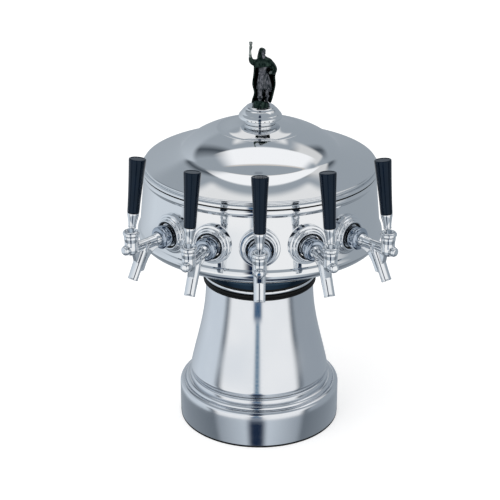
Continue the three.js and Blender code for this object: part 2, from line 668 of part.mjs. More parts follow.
// The standing figure in a long robe and cloak, one arm raised with a small cup.
function figure() {
  const body = FIGURE_HEIGHT - FIGURE_PLINTH;
  const spot = ([side, back, up]) => new THREE.Vector3(
    FIGURE_OFFSET + FIGURE_HALF_WIDTH * side,
    FIGURE_HALF_WIDTH * back,
    FIGURE_FOOT + FIGURE_PLINTH + body * up,
  );
  const outline = FIGURE_ROBE_SHARES.map(([out, up]) =>
    at(FIGURE_HALF_WIDTH * out, FIGURE_FOOT + FIGURE_PLINTH / 2 + (body + FIGURE_PLINTH / 2) * up));
  const foot = outline[0].y;
  const neckTop = outline[outline.length - 1].y;
  const robe = turned([at(0, foot), ...outline, at(0, neckTop)], TAP_SIDES)
    .scale(1, FIGURE_DEPTH_SHARE, 1)
    .translate(FIGURE_OFFSET, 0, 0);
  const plinth = turned(
    rod(FIGURE_PLINTH_RADIUS, FIGURE_FOOT, FIGURE_FOOT + FIGURE_PLINTH),
    TAP_SIDES,
  );
  const headTop = FIGURE_FOOT + FIGURE_HEIGHT;
  const headSpot = new THREE.Vector3(FIGURE_HEAD_OFFSET, 0, headTop - FIGURE_HEAD_RADIUS);
  const head = ball(FIGURE_HEAD_RADIUS, headSpot);
  const shoulder = spot(SHOULDER_SHARES);
  const elbow = spot(ELBOW_SHARES);
  const hand = spot(RAISED_HAND_SHARES);
  const cup = hand.clone().setZ(headTop + FIGURE_REACH - FIGURE_CUP_HEIGHT);
  const cupSolid = new THREE.CylinderGeometry(
    FIGURE_CUP_RADIUS, FIGURE_WRIST_RADIUS, FIGURE_CUP_HEIGHT, SMALL_SIDES,
  ).rotateX(Math.PI / 2).translate(cup.x, cup.y, cup.z + FIGURE_CUP_HEIGHT / 2);
  const farShoulder = spot(FAR_SHOULDER_SHARES);
  const farElbow = spot(FAR_ELBOW_SHARES);
  const farHand = spot(FAR_HAND_SHARES);
  const cloakMiddle = spot(CLOAK_MIDDLE_SHARES);
  const cloak = new THREE.BoxGeometry(
    FIGURE_HALF_WIDTH * CLOAK_WIDTH_SHARE, FIGURE_CLOAK, body * CLOAK_HEIGHT_SHARE,
  ).translate(cloakMiddle.x, cloakMiddle.y, cloakMiddle.z);
  return surface(joined(
    plinth,
    robe,
    head,
    limb(shoulder, elbow, FIGURE_ARM_RADIUS, FIGURE_ARM_RADIUS),
    ball(FIGURE_ARM_RADIUS, elbow),
    limb(elbow, cup, FIGURE_ARM_RADIUS, FIGURE_WRIST_RADIUS),
    cupSolid,
    limb(farShoulder, farElbow, FIGURE_ARM_RADIUS, FIGURE_ARM_RADIUS),
    ball(FIGURE_ARM_RADIUS, farElbow),
    limb(farElbow, farHand, FIGURE_ARM_RADIUS, FIGURE_WRIST_RADIUS),
    cloak,
  ));
}

// Taps

function tapAngles() {
  return Array.from({ length: TAP_COUNT }, (_, i) => (i - (TAP_COUNT - 1) / 2) * TAP_SPACING);
}

// A body of the head's own outline in a tap's frame, grown or shrunk by a distance.
function headBlock(outline, growth, angle) {
  const grown = offset(outline, -growth);
  const low = grown[0].y;
  const high = grown[grown.length - 1].y;
  return turned([at(0, low), ...grown, at(0, high)], LARGE_SIDES)
    .translate(0, 0, -TAP_HEIGHT)
    .rotateZ(-angle);
}

function shank(angle) {
  const collarBack = ESCUTCHEON_FLOOR_OUT + SEAT_GAP;
  const collarFront = collarBack + SHANK_COLLAR_WIDTH;
  const tube = turnedOutward([
    at(SHANK_BORE, SHANK_TAIL_OUT),
    at(SHANK_RADIUS, SHANK_TAIL_OUT),
    at(SHANK_RADIUS, collarBack),
    at(SHANK_COLLAR_RADIUS, collarBack),
    at(SHANK_COLLAR_RADIUS, collarFront),
    at(SHANK_RADIUS, collarFront),
    at(SHANK_RADIUS, SHANK_FACE_OUT),
    at(SHANK_BORE, SHANK_FACE_OUT),
  ], TAP_SIDES);
  const wall = HEAD_WALL_TOP_RADIUS - SHEET;
  const nut = turnedOutward(
    ring(SHANK_BORE + SHEET, SHANK_NUT_RADIUS, wall - SHANK_NUT_WIDTH, wall + SHANK_NUT_WIDTH),
    6,
  );
  const seated = solid(nut).intersect(solid(headBlock(headInside(), -SEAT_GAP, angle)));
  return surface(solid(tube).add(seated));
}

function escutcheon(angle) {
  const lipEdge = (ESCUTCHEON_LIP_RADIUS - ESCUTCHEON_CUP_RADIUS) / 4;
  const back = HEAD_WALL_TOP_RADIUS - SHEET;
  const blank = turnedOutward([
    at(SHANK_RADIUS + SHANK_HOLE_GAP, back),
    at(ESCUTCHEON_RADIUS, back),
    at(ESCUTCHEON_RADIUS, ESCUTCHEON_RIM_OUT - SHEET),
    at(ESCUTCHEON_RADIUS - SHEET, ESCUTCHEON_RIM_OUT),
    at(ESCUTCHEON_STEP_RADIUS, ESCUTCHEON_RIM_OUT),
    at(ESCUTCHEON_STEP_RADIUS - lipEdge, ESCUTCHEON_STEP_OUT),
    at(ESCUTCHEON_LIP_RADIUS + lipEdge, ESCUTCHEON_STEP_OUT + lipEdge),
    at(ESCUTCHEON_LIP_RADIUS - lipEdge, ESCUTCHEON_LIP_OUT),
    at(ESCUTCHEON_CUP_RADIUS + lipEdge, ESCUTCHEON_LIP_OUT),
    at(ESCUTCHEON_CUP_RADIUS, ESCUTCHEON_FLOOR_OUT),
    at(SHANK_RADIUS + SHANK_HOLE_GAP, ESCUTCHEON_FLOOR_OUT),
  ], ESCUTCHEON_SIDES);
  return surface(solid(blank).subtract(solid(headBlock(headOutside(), SEAT_GAP, angle))));
}

function couplingNut() {
  const front = NUT_BACK_OUT + NUT_WIDTH;
  return turnedOutward([
    at(SHANK_RADIUS + SEAT_GAP, NUT_BACK_OUT),
    at(NUT_RADIUS, NUT_BACK_OUT),
    at(NUT_RADIUS, front - NUT_CHAMFER),
    at(NUT_RADIUS - NUT_CHAMFER, front),
    at(TAIL_RADIUS + SEAT_GAP, front),
    at(TAIL_RADIUS + SEAT_GAP, front - NUT_LIP),
    at(SHANK_RADIUS + SEAT_GAP, front - NUT_LIP),
  ], TAP_SIDES);
}

// The spout's axis runs from the body's axis down and out to its mouth.
function spoutBar(radius, extraLength) {
  const run = SPOUT_DROP * Math.tan(SPOUT_LEAN);
  const start = new THREE.Vector3(0, run - BARREL_OUT, 0);
  const mouth = new THREE.Vector3(0, -BARREL_OUT, -SPOUT_DROP);
  const reach = mouth.clone().sub(start).setLength(extraLength);
  return limb(start, mouth.add(reach), radius, radius);
}

// The flat web that fills the corner between body and spout.
function spoutWeb() {
  const start = NUT_BACK_OUT + NUT_WIDTH + WEB_CLEARANCE;
  const run = BARREL_OUT - start;
  const corners = WEB_SIDE_SHARES.map(([out, down]) => at(start + run * out, -SPOUT_DROP * down));
  const shape = new THREE.Shape(corners);
  return new THREE.ExtrudeGeometry(shape, { depth: 2 * WEB_HALF_WIDTH, bevelEnabled: false })
    .translate(0, 0, -WEB_HALF_WIDTH)
    .rotateX(Math.PI / 2)
    .rotateZ(-Math.PI / 2);
}

function faucetBody() {
  const tail = SHANK_FACE_OUT + SEAT_GAP;
  const neck = NUT_BACK_OUT + NUT_WIDTH + SEAT_GAP;
  const middle = (neck + BARREL_OUT) / 2;
  const shell = turnedOutward([
    at(0, tail),
    at(TAIL_FLANGE_RADIUS, tail),
    at(TAIL_FLANGE_RADIUS, tail + TAIL_FLANGE_WIDTH),
    at(TAIL_RADIUS, tail + TAIL_FLANGE_WIDTH),
    at(TAIL_RADIUS, neck + SHEET),
    at(BODY_WAIST_RADIUS, middle),
    at(NOSE_RADIUS, BARREL_OUT),
    at(NOSE_RADIUS, NOSE_OUT - NOSE_RADIUS / 2),
    at(NOSE_RADIUS * NOSE_TIP_SHARE, NOSE_OUT - NOSE_RADIUS / 6),
    at(0, NOSE_OUT),
  ], TAP_SIDES);
  const barrelTop = PIVOT_RISE + BONNET_START - SEAT_GAP;
  const upright = (radius, low) => turned(rod(radius, low, barrelTop + (low ? 0 : OVERRUN)), TAP_SIDES)
    .translate(0, -BARREL_OUT, 0);
  const whole = joined(
    shell,
    upright(BARREL_RADIUS, -NOSE_RADIUS),
    spoutBar(SPOUT_RADIUS, 0),
    spoutWeb(),
  );
  return surface(cut(
    whole,
    turnedOutward(rod(BODY_BORE, tail - OVERRUN, BODY_BORE_END_OUT), TAP_SIDES),
    upright(BARREL_BORE, 0),
    spoutBar(SPOUT_BORE, OVERRUN),
  ));
}

function bonnet() {
  const foot = BONNET_START;
  const top = foot + BONNET_HEIGHT;
  return turned([
    at(BONNET_MOUTH_RADIUS, foot),
    at(BONNET_RADIUS, foot),
    at(BONNET_FLANGE_RADIUS, foot + BONNET_HEIGHT / 3),
    at(BONNET_FLANGE_RADIUS, top - BONNET_HEIGHT / 4),
    at(BONNET_FLANGE_RADIUS - BONNET_LIP / 2, top),
    at(BONNET_FLANGE_RADIUS - BONNET_LIP, top),
  ], TAP_SIDES);
}

// The rod that the lever pushes, with a seat washer behind and an eye for the lever's stub.
function valveShaft() {
  const eyeBack = EYE_OUT - EYE_LENGTH / 2;
  const stem = turnedOutward([
    at(0, SHAFT_BACK_OUT),
    at(SEAT_WASHER_RADIUS, SHAFT_BACK_OUT),
    at(SEAT_WASHER_RADIUS, SHAFT_BACK_OUT + SEAT_WASHER_WIDTH),
    at(SHAFT_RADIUS, SHAFT_BACK_OUT + SEAT_WASHER_WIDTH),
    at(SHAFT_RADIUS, eyeBack + SHEET / 2),
    at(0, eyeBack + SHEET / 2),
  ], SMALL_SIDES);
  const eye = new THREE.BoxGeometry(2 * EYE_HALF_WIDTH, EYE_LENGTH, 2 * EYE_HALF_THICKNESS)
    .translate(0, -EYE_OUT, 0);
  const cutEnd = EYE_HALF_THICKNESS + OVERRUN;
  const hole = turned(rod(EYE_HOLE, -cutEnd, cutEnd), SMALL_SIDES).translate(0, -EYE_OUT, 0);
  return surface(cut(joined(stem, eye), hole));
}

// The lever, upright about its own pivot: stub, ball, neck, ferrule and stud.
function lever() {
  const stubTurn = 90 - THREE.MathUtils.radToDeg(Math.asin(STUB_RADIUS / BALL_RADIUS));
  const neckTurn = 90 - THREE.MathUtils.radToDeg(Math.asin(LEVER_NECK_RADIUS / BALL_RADIUS));
  return turned([
    at(0, -STUB_LENGTH),
    at(STUB_RADIUS, -STUB_LENGTH),
    ...arc(0, 0, BALL_RADIUS, -stubTurn, neckTurn, CURVE_STEPS),
    at(LEVER_NECK_RADIUS, FERRULE_START),
    at(FERRULE_FOOT_RADIUS, FERRULE_START),
    at(FERRULE_TOP_RADIUS, FERRULE_END - SHEET),
    at(FERRULE_TOP_RADIUS - SHEET / 2, FERRULE_END),
    at(LEVER_NECK_RADIUS, FERRULE_END),
    at(LEVER_NECK_RADIUS, FERRULE_END + STUD_LENGTH),
    at(0, FERRULE_END + STUD_LENGTH),
  ], SMALL_SIDES);
}

function handle() {
  const foot = FERRULE_END + SEAT_GAP;
  const top = foot + HANDLE_LENGTH;
  const socket = FERRULE_END + STUD_LENGTH + SEAT_GAP;
  return turned([
    at(0, socket),
    at(LEVER_NECK_RADIUS + SEAT_GAP, socket),
    at(LEVER_NECK_RADIUS + SEAT_GAP, foot),
    at(HANDLE_FOOT_RADIUS - HANDLE_ROUNDING / 2, foot),
    at(HANDLE_FOOT_RADIUS, foot + HANDLE_ROUNDING / 2),
    at(HANDLE_TOP_RADIUS, top - HANDLE_ROUNDING),
    at(HANDLE_TOP_RADIUS - HANDLE_ROUNDING, top),
    at(0, top),
  ], TAP_SIDES);
}

// A beer line: straight back from the shank, then down the core tube to just above the base plate.
function beerLine(angle) {
  const spot = (turn, radius, height) => new THREE.Vector3(
    radius * Math.sin(turn),
    -radius * Math.cos(turn),
    height,
  );
  const fan = angle * LINE_FAN_SHARE;
  const start = SHANK_TAIL_OUT - SEAT_GAP;
  const bendStart = start - LINE_STRAIGHT;
  const path = new THREE.CatmullRomCurve3([
    spot(angle, start, TAP_HEIGHT),
    spot(angle, bendStart, TAP_HEIGHT),
    spot((angle + fan) / 2, (bendStart + LINE_CIRCLE) / 2, TAP_HEIGHT - LINE_BEND / 5),
    spot(fan, LINE_CIRCLE, TAP_HEIGHT - LINE_BEND),
    spot(fan, LINE_CIRCLE, (TAP_HEIGHT - LINE_BEND) / 2),
    spot(fan, LINE_CIRCLE, PLATE_THICKNESS + LINE_END_RISE),
  ], false, "centripetal");
  const section = new THREE.Shape().absarc(0, 0, LINE_RADIUS, 0, 2 * Math.PI, false);
  section.holes.push(new THREE.Path().absarc(0, 0, LINE_BORE, 0, 2 * Math.PI, true));
  return new THREE.ExtrudeGeometry(section, {
    steps: LINE_STEPS,
    extrudePath: path,
    curveSegments: LINE_SIDES / 2,
    bevelEnabled: false,
  });
}

function addTap(tower, number, angle) {
  const tap = new THREE.Group();
  tap.position.z = TAP_HEIGHT;
  tap.rotation.z = angle;
  tower.add(tap);
  place(tap, `shank_${number}`, shank(angle), brushedSteel);
  place(tap, `escutcheon_${number}`, escutcheon(angle), chrome);
  place(tap, `coupling_nut_${number}`, couplingNut(), chrome);
  place(tap, `faucet_body_${number}`, faucetBody(), chrome);
  place(tap, `valve_shaft_${number}`, valveShaft(), brushedSteel);
  const barrel = new THREE.Group();
  barrel.position.set(0, -BARREL_OUT, PIVOT_RISE);
  tap.add(barrel);
  place(barrel, `bonnet_${number}`, bonnet(), chrome);
  const leaning = new THREE.Group();
  leaning.rotation.x = -LEVER_LEAN;
  barrel.add(leaning);
  place(leaning, `lever_${number}`, lever(), chrome);
  place(leaning, `handle_${number}`, handle(), blackPlastic);
  place(tower, `beer_line_${number}`, beerLine(angle), brushedSteel);
}

const tower = new THREE.Group();
place(tower, "base_plate", basePlate(), castIron);
place(tower, "base_gasket", baseGasket(), rubber);
place(tower, "base_cover", baseCover(), polishedSteel);
place(tower, "core_tube", coreTube(), whitePlastic);
place(tower, "column_insulation", columnInsulation(), foam);
place(tower, "column_shell", columnShell(), polishedSteel);
place(tower, "neck_gasket", neckGasket(), darkTrim);
place(tower, "neck_bead_ring", neckBeadRing(), chrome);
place(tower, "neck_collar", neckCollar(), chrome);
place(tower, "head_shell", headShell(), chrome);
place(tower, "lid_gasket", lidGasket(), rubber);
place(tower, "lid_dome", lidDome(), chrome);
place(tower, "tie_rod", tieRod(), brushedSteel);
place(tower, "finial_base", finialBase(), chrome);
place(tower, "figurine", figure(), bronze);
tapAngles().forEach((angle, i) => addTap(tower, i + 1, angle));

export default tower;
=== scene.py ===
# %% [markdown]
# A beer tower stands on a bar and carries its taps high above the counter: a heavy round base, a
# flared column, a drum with the taps across its front, and a lid with a small figure on top.
# The CAD model gives every place and size. This lesson puts finely turned metal round it, piece
# by piece, and gives each piece the finish that the real one has.

# %% Load the frame and keep its box
import json
import math
import bpy
from mathutils import Matrix, Vector

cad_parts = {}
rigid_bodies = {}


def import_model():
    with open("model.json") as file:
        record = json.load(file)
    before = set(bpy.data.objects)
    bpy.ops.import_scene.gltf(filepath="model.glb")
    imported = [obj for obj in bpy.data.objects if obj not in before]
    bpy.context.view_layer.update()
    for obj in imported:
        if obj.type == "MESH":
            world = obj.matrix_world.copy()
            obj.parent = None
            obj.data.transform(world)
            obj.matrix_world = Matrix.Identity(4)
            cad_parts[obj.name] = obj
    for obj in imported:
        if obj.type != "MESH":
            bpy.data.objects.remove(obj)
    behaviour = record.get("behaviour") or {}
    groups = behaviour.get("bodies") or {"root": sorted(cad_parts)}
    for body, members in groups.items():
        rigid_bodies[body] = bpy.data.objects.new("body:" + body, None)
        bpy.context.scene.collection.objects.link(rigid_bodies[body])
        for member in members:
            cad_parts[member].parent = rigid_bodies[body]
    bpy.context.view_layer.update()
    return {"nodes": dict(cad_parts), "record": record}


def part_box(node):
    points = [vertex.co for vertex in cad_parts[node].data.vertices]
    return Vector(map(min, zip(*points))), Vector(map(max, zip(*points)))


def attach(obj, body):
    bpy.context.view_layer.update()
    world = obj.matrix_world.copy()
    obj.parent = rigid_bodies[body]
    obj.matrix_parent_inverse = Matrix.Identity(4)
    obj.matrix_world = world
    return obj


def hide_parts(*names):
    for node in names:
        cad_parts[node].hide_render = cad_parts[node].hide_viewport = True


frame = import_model()
MM = 0.001

# %% [markdown]
# The camera comes first, so that every later piece can be judged through it. It looks down on the
# tower by a little more than a quarter of a right angle, from two metres away, and the tower's
# axis stands a little right of the middle of the picture.

# %% The camera
FOCAL_PIXELS = 1500
PICTURE_PIXELS = 500
AXIS_PIXEL = 259.74
CAMERA_BACK = 1992.6 * MM
CAMERA_HEIGHT = 1130.4 * MM
CAMERA_PITCH = math.radians(23.58)
CAMERA_ROLL = math.radians(0.27)
FARTHEST_SEEN = 100


def added(operator, name, **settings):
    """Runs an operator that adds one object, with nothing else selected."""
    bpy.ops.object.select_all(action="DESELECT")
    operator(**settings)
    piece = bpy.context.object
    piece.name = name
    return piece


camera = added(bpy.ops.object.camera_add, "camera", location=(0, -CAMERA_BACK, CAMERA_HEIGHT))
looking = Matrix.Rotation(math.pi / 2 - CAMERA_PITCH, 4, "X")
camera.rotation_euler = (looking @ Matrix.Rotation(CAMERA_ROLL, 4, "Z")).to_euler()
camera.data.lens = camera.data.sensor_width * FOCAL_PIXELS / PICTURE_PIXELS
camera.data.shift_x = (PICTURE_PIXELS / 2 - AXIS_PIXEL) / PICTURE_PIXELS
camera.data.clip_end = FARTHEST_SEEN
bpy.context.scene.camera = camera
print("camera lens:", round(camera.data.lens, 1), "mm")

# %% [markdown]
# Colours are written as on a colour chart, in sRGB, and Blender works with linear light, so one
# function turns the first into the second. A second small function adds a shader node with its
# settings and its links, and every finish below is built with it.

# %% Colours and nodes
SRGB_KNEE = 0.04045
SRGB_SLOPE = 12.92
SRGB_LIFT = 0.055
SRGB_POWER = 2.4


def linear(chart):
    channels = [int(chart[i:i + 2], 16) / 255 for i in (1, 3, 5)]
    return [
        c / SRGB_SLOPE if c <= SRGB_KNEE else ((c + SRGB_LIFT) / (1 + SRGB_LIFT)) ** SRGB_POWER
        for c in channels
    ] + [1]


def add_node(tree, kind, inputs=None, **settings):
    node = tree.nodes.new(kind)
    for name, value in settings.items():
        setattr(node, name, value)
    for socket, value in (inputs or {}).items():
        if isinstance(value, bpy.types.NodeSocket):
            tree.links.new(value, node.inputs[socket])
        else:
            node.inputs[socket].default_value = value
    return node


print("white is", linear("#ffffff"))

# %% [markdown]
# Polished metal has hardly a colour of its own: it shows the room. A photographer stands such a
# piece in a white tent with a gap for the camera. The world below is that tent. Diffuse surfaces
# get plain even light from it. In metal it shows white cloth in front and grey behind. Dark flags
# at both sides, and two more high up behind, give the polished shapes their edges. Each table
# says which cloth hangs where, by the turn round the tower in degrees, from straight behind
# over the left, the front and the right: on the table round the foot, low down, level with the
# lid, and high up. Straight below it is dark. A reach is a span of heights, from -1 straight down
# to 1 straight up, and how soft its edges are.

# %% Walls of the tent
ROOM_LIGHT = 0.82
WHITE = "#ffffff"
PALE = "#d8e0e8"
GREY = "#a0a8b0"
SLATE = "#707880"
DARK = "#485058"
NIGHT = "#182840"
FLOOR_WALL = [
    (-180, GREY), (-70, SLATE), (-60, GREY), (0, PALE), (60, GREY), (70, SLATE), (180, GREY),
]
LOW_WALL = [
    (-180, GREY), (-120, PALE), (-80, PALE), (-70, SLATE), (-60, WHITE), (60, WHITE),
    (70, SLATE), (80, GREY), (180, GREY),
]
LEVEL_WALL = [(-180, GREY), (-90, PALE), (0, WHITE), (60, WHITE), (90, GREY), (180, GREY)]
HIGH_WALL = [
    (-180, GREY), (-150, GREY), (-140, DARK), (-120, GREY), (120, GREY), (140, DARK),
    (150, GREY), (180, GREY),
]
FLOOR_REACH = (-2, -0.472, 0.012)
FOOT_REACH = (-2, -0.9, 0.05)
LEVEL_REACH = (-0.07, 2, 0.09)
HIGH_REACH = (0.48, 2, 0.07)
world = bpy.data.worlds.new("tent")
bpy.context.scene.world = world
world.use_nodes = True
tent = world.node_tree
tent.nodes.clear()
view = add_node(tent, "ShaderNodeTexCoord")
way = add_node(tent, "ShaderNodeSeparateXYZ", {0: view.outputs["Generated"]})
height = way.outputs["Z"]
front = add_node(tent, "ShaderNodeMath", {0: way.outputs["Y"], 1: -1}, operation="MULTIPLY")
angle = add_node(
    tent, "ShaderNodeMath", {0: way.outputs["X"], 1: front.outputs[0]}, operation="ARCTAN2",
)
turn = add_node(
    tent, "ShaderNodeMath", {0: angle.outputs[0], 1: 180 / math.pi}, operation="MULTIPLY",
).outputs[0]
turn_share = add_node(
    tent, "ShaderNodeMath", {0: turn, 1: 1 / 360, 2: 0.5}, operation="MULTIPLY_ADD",
)


def painted(under, colour, *windows):
    """Paints a colour over the part of the tent that lies inside all of the soft-edged windows."""
    mask = 1
    for value, low, high, soft in windows:
        for edge, rise in ((low, (0, 1)), (high, (1, 0))):
            side = add_node(tent, "ShaderNodeMapRange", {
                "Value": value, "From Min": edge - soft, "From Max": edge + soft,
                "To Min": rise[0], "To Max": rise[1],
            }, interpolation_type="SMOOTHSTEP")
            mask = add_node(
                tent, "ShaderNodeMath", {0: side.outputs[0], 1: mask}, operation="MULTIPLY",
            ).outputs[0]
    return add_node(
        tent, "ShaderNodeMix", {"Factor": mask, "A": under, "B": colour}, data_type="RGBA",
    ).outputs[2]


walls = []
for stops in (LOW_WALL, FLOOR_WALL, LEVEL_WALL, HIGH_WALL):
    cloth = add_node(tent, "ShaderNodeValToRGB", {0: turn_share.outputs[0]})
    ramp = cloth.color_ramp
    ramp.elements.remove(ramp.elements[-1])
    for number, (degrees, chart) in enumerate(stops):
        place = degrees / 360 + 0.5
        stop = ramp.elements.new(place) if number else ramp.elements[0]
        stop.position, stop.color = place, linear(chart)
    walls.append(cloth.outputs[0])
low_wall, floor_wall, level_wall, high_wall = walls
room = painted(low_wall, floor_wall, (height, *FLOOR_REACH))
room = painted(room, linear(NIGHT), (height, *FOOT_REACH))
room = painted(room, level_wall, (height, *LEVEL_REACH))
room = painted(room, high_wall, (height, *HIGH_REACH))
print("walls have", len(tent.nodes), "nodes")

# %% [markdown]
# The camera looks in through a gap, which shows dark blue, wide low down and narrow above. Over
# the tower hangs one broad soft box, a little to the right and behind, and its light is what makes
# the lid's dome bright. It has a warmer hem along its front edge, a paler panel at its side and a
# card behind. Places overhead are measured as steps sideways and backwards for each step up. A gap
# part is half its width and its softness in degrees, its colour, and its lowest and highest place.

# %% The gap and the soft box
GAP_TURN = -3.5
GAP_PARTS = [
    (4, 3, "#608098", -0.26, 0.12), (8, 3, "#406080", -0.47, -0.26), (12, 6, NIGHT, -0.85, -0.47),
    (9, 4, NIGHT, 0.12, 0.9),
]
GAP_SOFT = 0.05
LEAST_RISE = 0.05
BOX_ACROSS = (-0.52, 0.9, 0.2)
BOX_BACK = (-0.05, 0.53, 0.03)
BOX_HEM = (-0.1, -0.05, 0.02)
SIDE_ACROSS = (0.42, 1.2, 0.1)
SIDE_BACK = (0.3, 0.92, 0.1)
CARD_ACROSS = (-0.3, 0.3, 0.04)
CARD_BACK = (0.72, 1.75, 0.07)
LAMP_WHITE = (1.06, 1.06, 1.07, 1)
CARD_WHITE = "#f0f0f0"
SIDE_WHITE = "#e0e0e0"
HEM_WHITE = "#e0d8d0"
for half, soft, chart, low, high in GAP_PARTS:
    gap = (turn, GAP_TURN - half, GAP_TURN + half, soft)
    room = painted(room, linear(chart), gap, (height, low, high, GAP_SOFT))
above = add_node(tent, "ShaderNodeMath", {0: height, 1: LEAST_RISE}, operation="MAXIMUM").outputs[0]
across, back = (
    add_node(tent, "ShaderNodeMath", {0: way.outputs[axis], 1: above}, operation="DIVIDE").outputs[0]
    for axis in ("X", "Y")
)
room = painted(room, linear(CARD_WHITE), (across, *CARD_ACROSS), (back, *CARD_BACK))
room = painted(room, linear(SIDE_WHITE), (across, *SIDE_ACROSS), (back, *SIDE_BACK))
room = painted(room, linear(HEM_WHITE), (across, *BOX_ACROSS), (back, *BOX_HEM))
room = painted(room, LAMP_WHITE, (across, *BOX_ACROSS), (back, *BOX_BACK))
rays = add_node(tent, "ShaderNodeLightPath")
in_metal = add_node(tent, "ShaderNodeBackground", {"Color": room, "Strength": 1})
even = add_node(tent, "ShaderNodeBackground", {"Color": (1, 1, 1, 1), "Strength": ROOM_LIGHT})
white = add_node(tent, "ShaderNodeBackground", {"Color": (1, 1, 1, 1), "Strength": 1})
lit = add_node(
    tent, "ShaderNodeMixShader",
    {0: rays.outputs["Is Glossy Ray"], 1: even.outputs[0], 2: in_metal.outputs[0]},
)
seen = add_node(
    tent, "ShaderNodeMath",
    {0: rays.outputs["Is Camera Ray"], 1: rays.outputs["Is Transmission Ray"]}, operation="MAXIMUM",
)
sky = add_node(
    tent, "ShaderNodeMixShader", {0: seen.outputs[0], 1: lit.outputs[0], 2: white.outputs[0]},
)
add_node(tent, "ShaderNodeOutputWorld", {"Surface": sky.outputs[0]})
print("tent has", len(tent.nodes), "nodes")

# %% [markdown]
# The floor is a plain pale sheet. To the camera it is nearly white of its own accord, and it still
# takes the tower's soft shadow. One broad soft lamp above and to the left gives that shadow a
# direction, at a level that leaves the colours as they are written.

# %% Floor and lamp
FLOOR_SIZE = 24
LAMP_SIZE = 1.6
LAMP_POWER = 14
LAMP_PLACE = (-1.1, -1.2, 2.2)
LAMP_AIM = (0, 0, 0.3)
PAPER = "#e9e9e9"
PAPER_GLOW = 0.42
floor = added(bpy.ops.mesh.primitive_plane_add, "floor", size=FLOOR_SIZE)
paper = bpy.data.materials.new("matte_paper")
paper.use_nodes = True
sheet = paper.node_tree
sheet.nodes.clear()
paper_rays = add_node(sheet, "ShaderNodeLightPath")
diffuse = add_node(sheet, "ShaderNodeBsdfDiffuse", {"Color": linear(PAPER)})
glow = add_node(sheet, "ShaderNodeEmission", {"Color": (1, 1, 1, 1), "Strength": PAPER_GLOW})
looked_at = paper_rays.outputs["Is Camera Ray"]
for kind in ("Is Glossy Ray", "Is Transmission Ray"):
    looked_at = add_node(
        sheet, "ShaderNodeMath", {0: looked_at, 1: paper_rays.outputs[kind]}, operation="MAXIMUM",
    ).outputs[0]
dark = add_node(sheet, "ShaderNodeEmission", {"Strength": 0})
shine = add_node(
    sheet, "ShaderNodeMixShader", {0: looked_at, 1: dark.outputs[0], 2: glow.outputs[0]},
)
paper_sum = add_node(sheet, "ShaderNodeAddShader", {0: diffuse.outputs[0], 1: shine.outputs[0]})
add_node(sheet, "ShaderNodeOutputMaterial", {"Surface": paper_sum.outputs[0]})
floor.data.materials.append(paper)
floor.visible_glossy = False
lamp = added(bpy.ops.object.light_add, "soft_lamp", type="AREA", location=LAMP_PLACE)
lamp.data.size = LAMP_SIZE
lamp.data.energy = LAMP_POWER
lamp.rotation_euler = (Vector(LAMP_AIM) - lamp.location).to_track_quat("-Z", "Y").to_euler()
lamp.visible_glossy = False
print("lamp power:", LAMP_POWER, "W over", LAMP_SIZE, "m")

# %% [markdown]
# Nearly every piece of the tower is turned or spun: a craftsman presses a disc of sheet over a
# wooden form on a lathe. In Blender the same shape is an outline swept round an axis. The outline
# is drawn from one point by extruding it from place to place, and then spun round the Z axis.

# %% Outlines
def arc(radius, height, size, start, end, steps=8):
    turns = [math.radians(start + (end - start) * i / steps) for i in range(steps + 1)]
    return [(radius + size * math.cos(a), height + size * math.sin(a)) for a in turns]


def curve(start, first, second, end, steps=16):
    points = []
    for i in range(steps + 1):
        t = i / steps
        weights = ((1 - t) ** 3, 3 * t * (1 - t) ** 2, 3 * t * t * (1 - t), t ** 3)
        points.append(tuple(
            sum(w * p[axis] for w, p in zip(weights, (start, first, second, end))) for axis in (0, 1)
        ))
    return points


def raised(outline, base):
    return [(radius, base + height) for radius, height in outline]


def extent(node):
    """The radius, foot and top of a round CAD node, in millimetres."""
    low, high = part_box(node)
    return high.y / MM, low.z / MM, high.z / MM


print("base cover:", [round(v, 1) for v in extent("base_cover")])

# %% Turning and finishing
LARGE_TURNS = 180
TAP_TURNS = 64
SAME_PLACE = 0.002 * MM


def only(piece):
    bpy.ops.object.select_all(action="DESELECT")
    piece.select_set(True)
    bpy.context.view_layer.objects.active = piece


def spun(name, outline, turns=LARGE_TURNS):
    piece = added(bpy.ops.mesh.primitive_plane_add, name, size=MM)
    bpy.ops.object.mode_set(mode="EDIT")
    bpy.ops.mesh.merge(type="CENTER")
    here = Vector((0, 0, 0))
    for number, (radius, height) in enumerate(outline):
        there = Vector((0, -radius, height)) * MM
        if number == 0:
            bpy.ops.transform.translate(value=there)
        else:
            bpy.ops.mesh.extrude_vertices_move(TRANSFORM_OT_translate={"value": there - here})
        here = there
    bpy.ops.mesh.select_all(action="SELECT")
    bpy.ops.mesh.remove_doubles(threshold=SAME_PLACE)
    bpy.ops.mesh.spin(steps=turns, angle=2 * math.pi, center=(0, 0, 0), axis=(0, 0, 1))
    bpy.ops.mesh.select_all(action="SELECT")
    bpy.ops.mesh.remove_doubles(threshold=SAME_PLACE)
    bpy.ops.mesh.normals_make_consistent(inside=False)
    bpy.ops.object.mode_set(mode="OBJECT")
    return piece


def ring(name, inner, outer, low, high, turns=LARGE_TURNS):
    corners = [(inner, low), (outer, low), (outer, high), (inner, high), (inner, low)]
    return spun(name, corners, turns)


def modify(piece, kind, **settings):
    only(piece)
    modifier = piece.modifiers.new(kind.lower(), kind)
    for name, value in settings.items():
        setattr(modifier, name, value)
    bpy.ops.object.modifier_apply(modifier=modifier.name)
    return piece


def walled(piece, wall):
    return modify(piece, "SOLIDIFY", thickness=wall * MM, offset=-1, use_even_offset=True)


def eased(piece, width, segments=2, angle=32):
    return modify(
        piece, "BEVEL", width=width * MM, segments=segments, limit_method="ANGLE",
        angle_limit=math.radians(angle), use_clamp_overlap=True,
    )


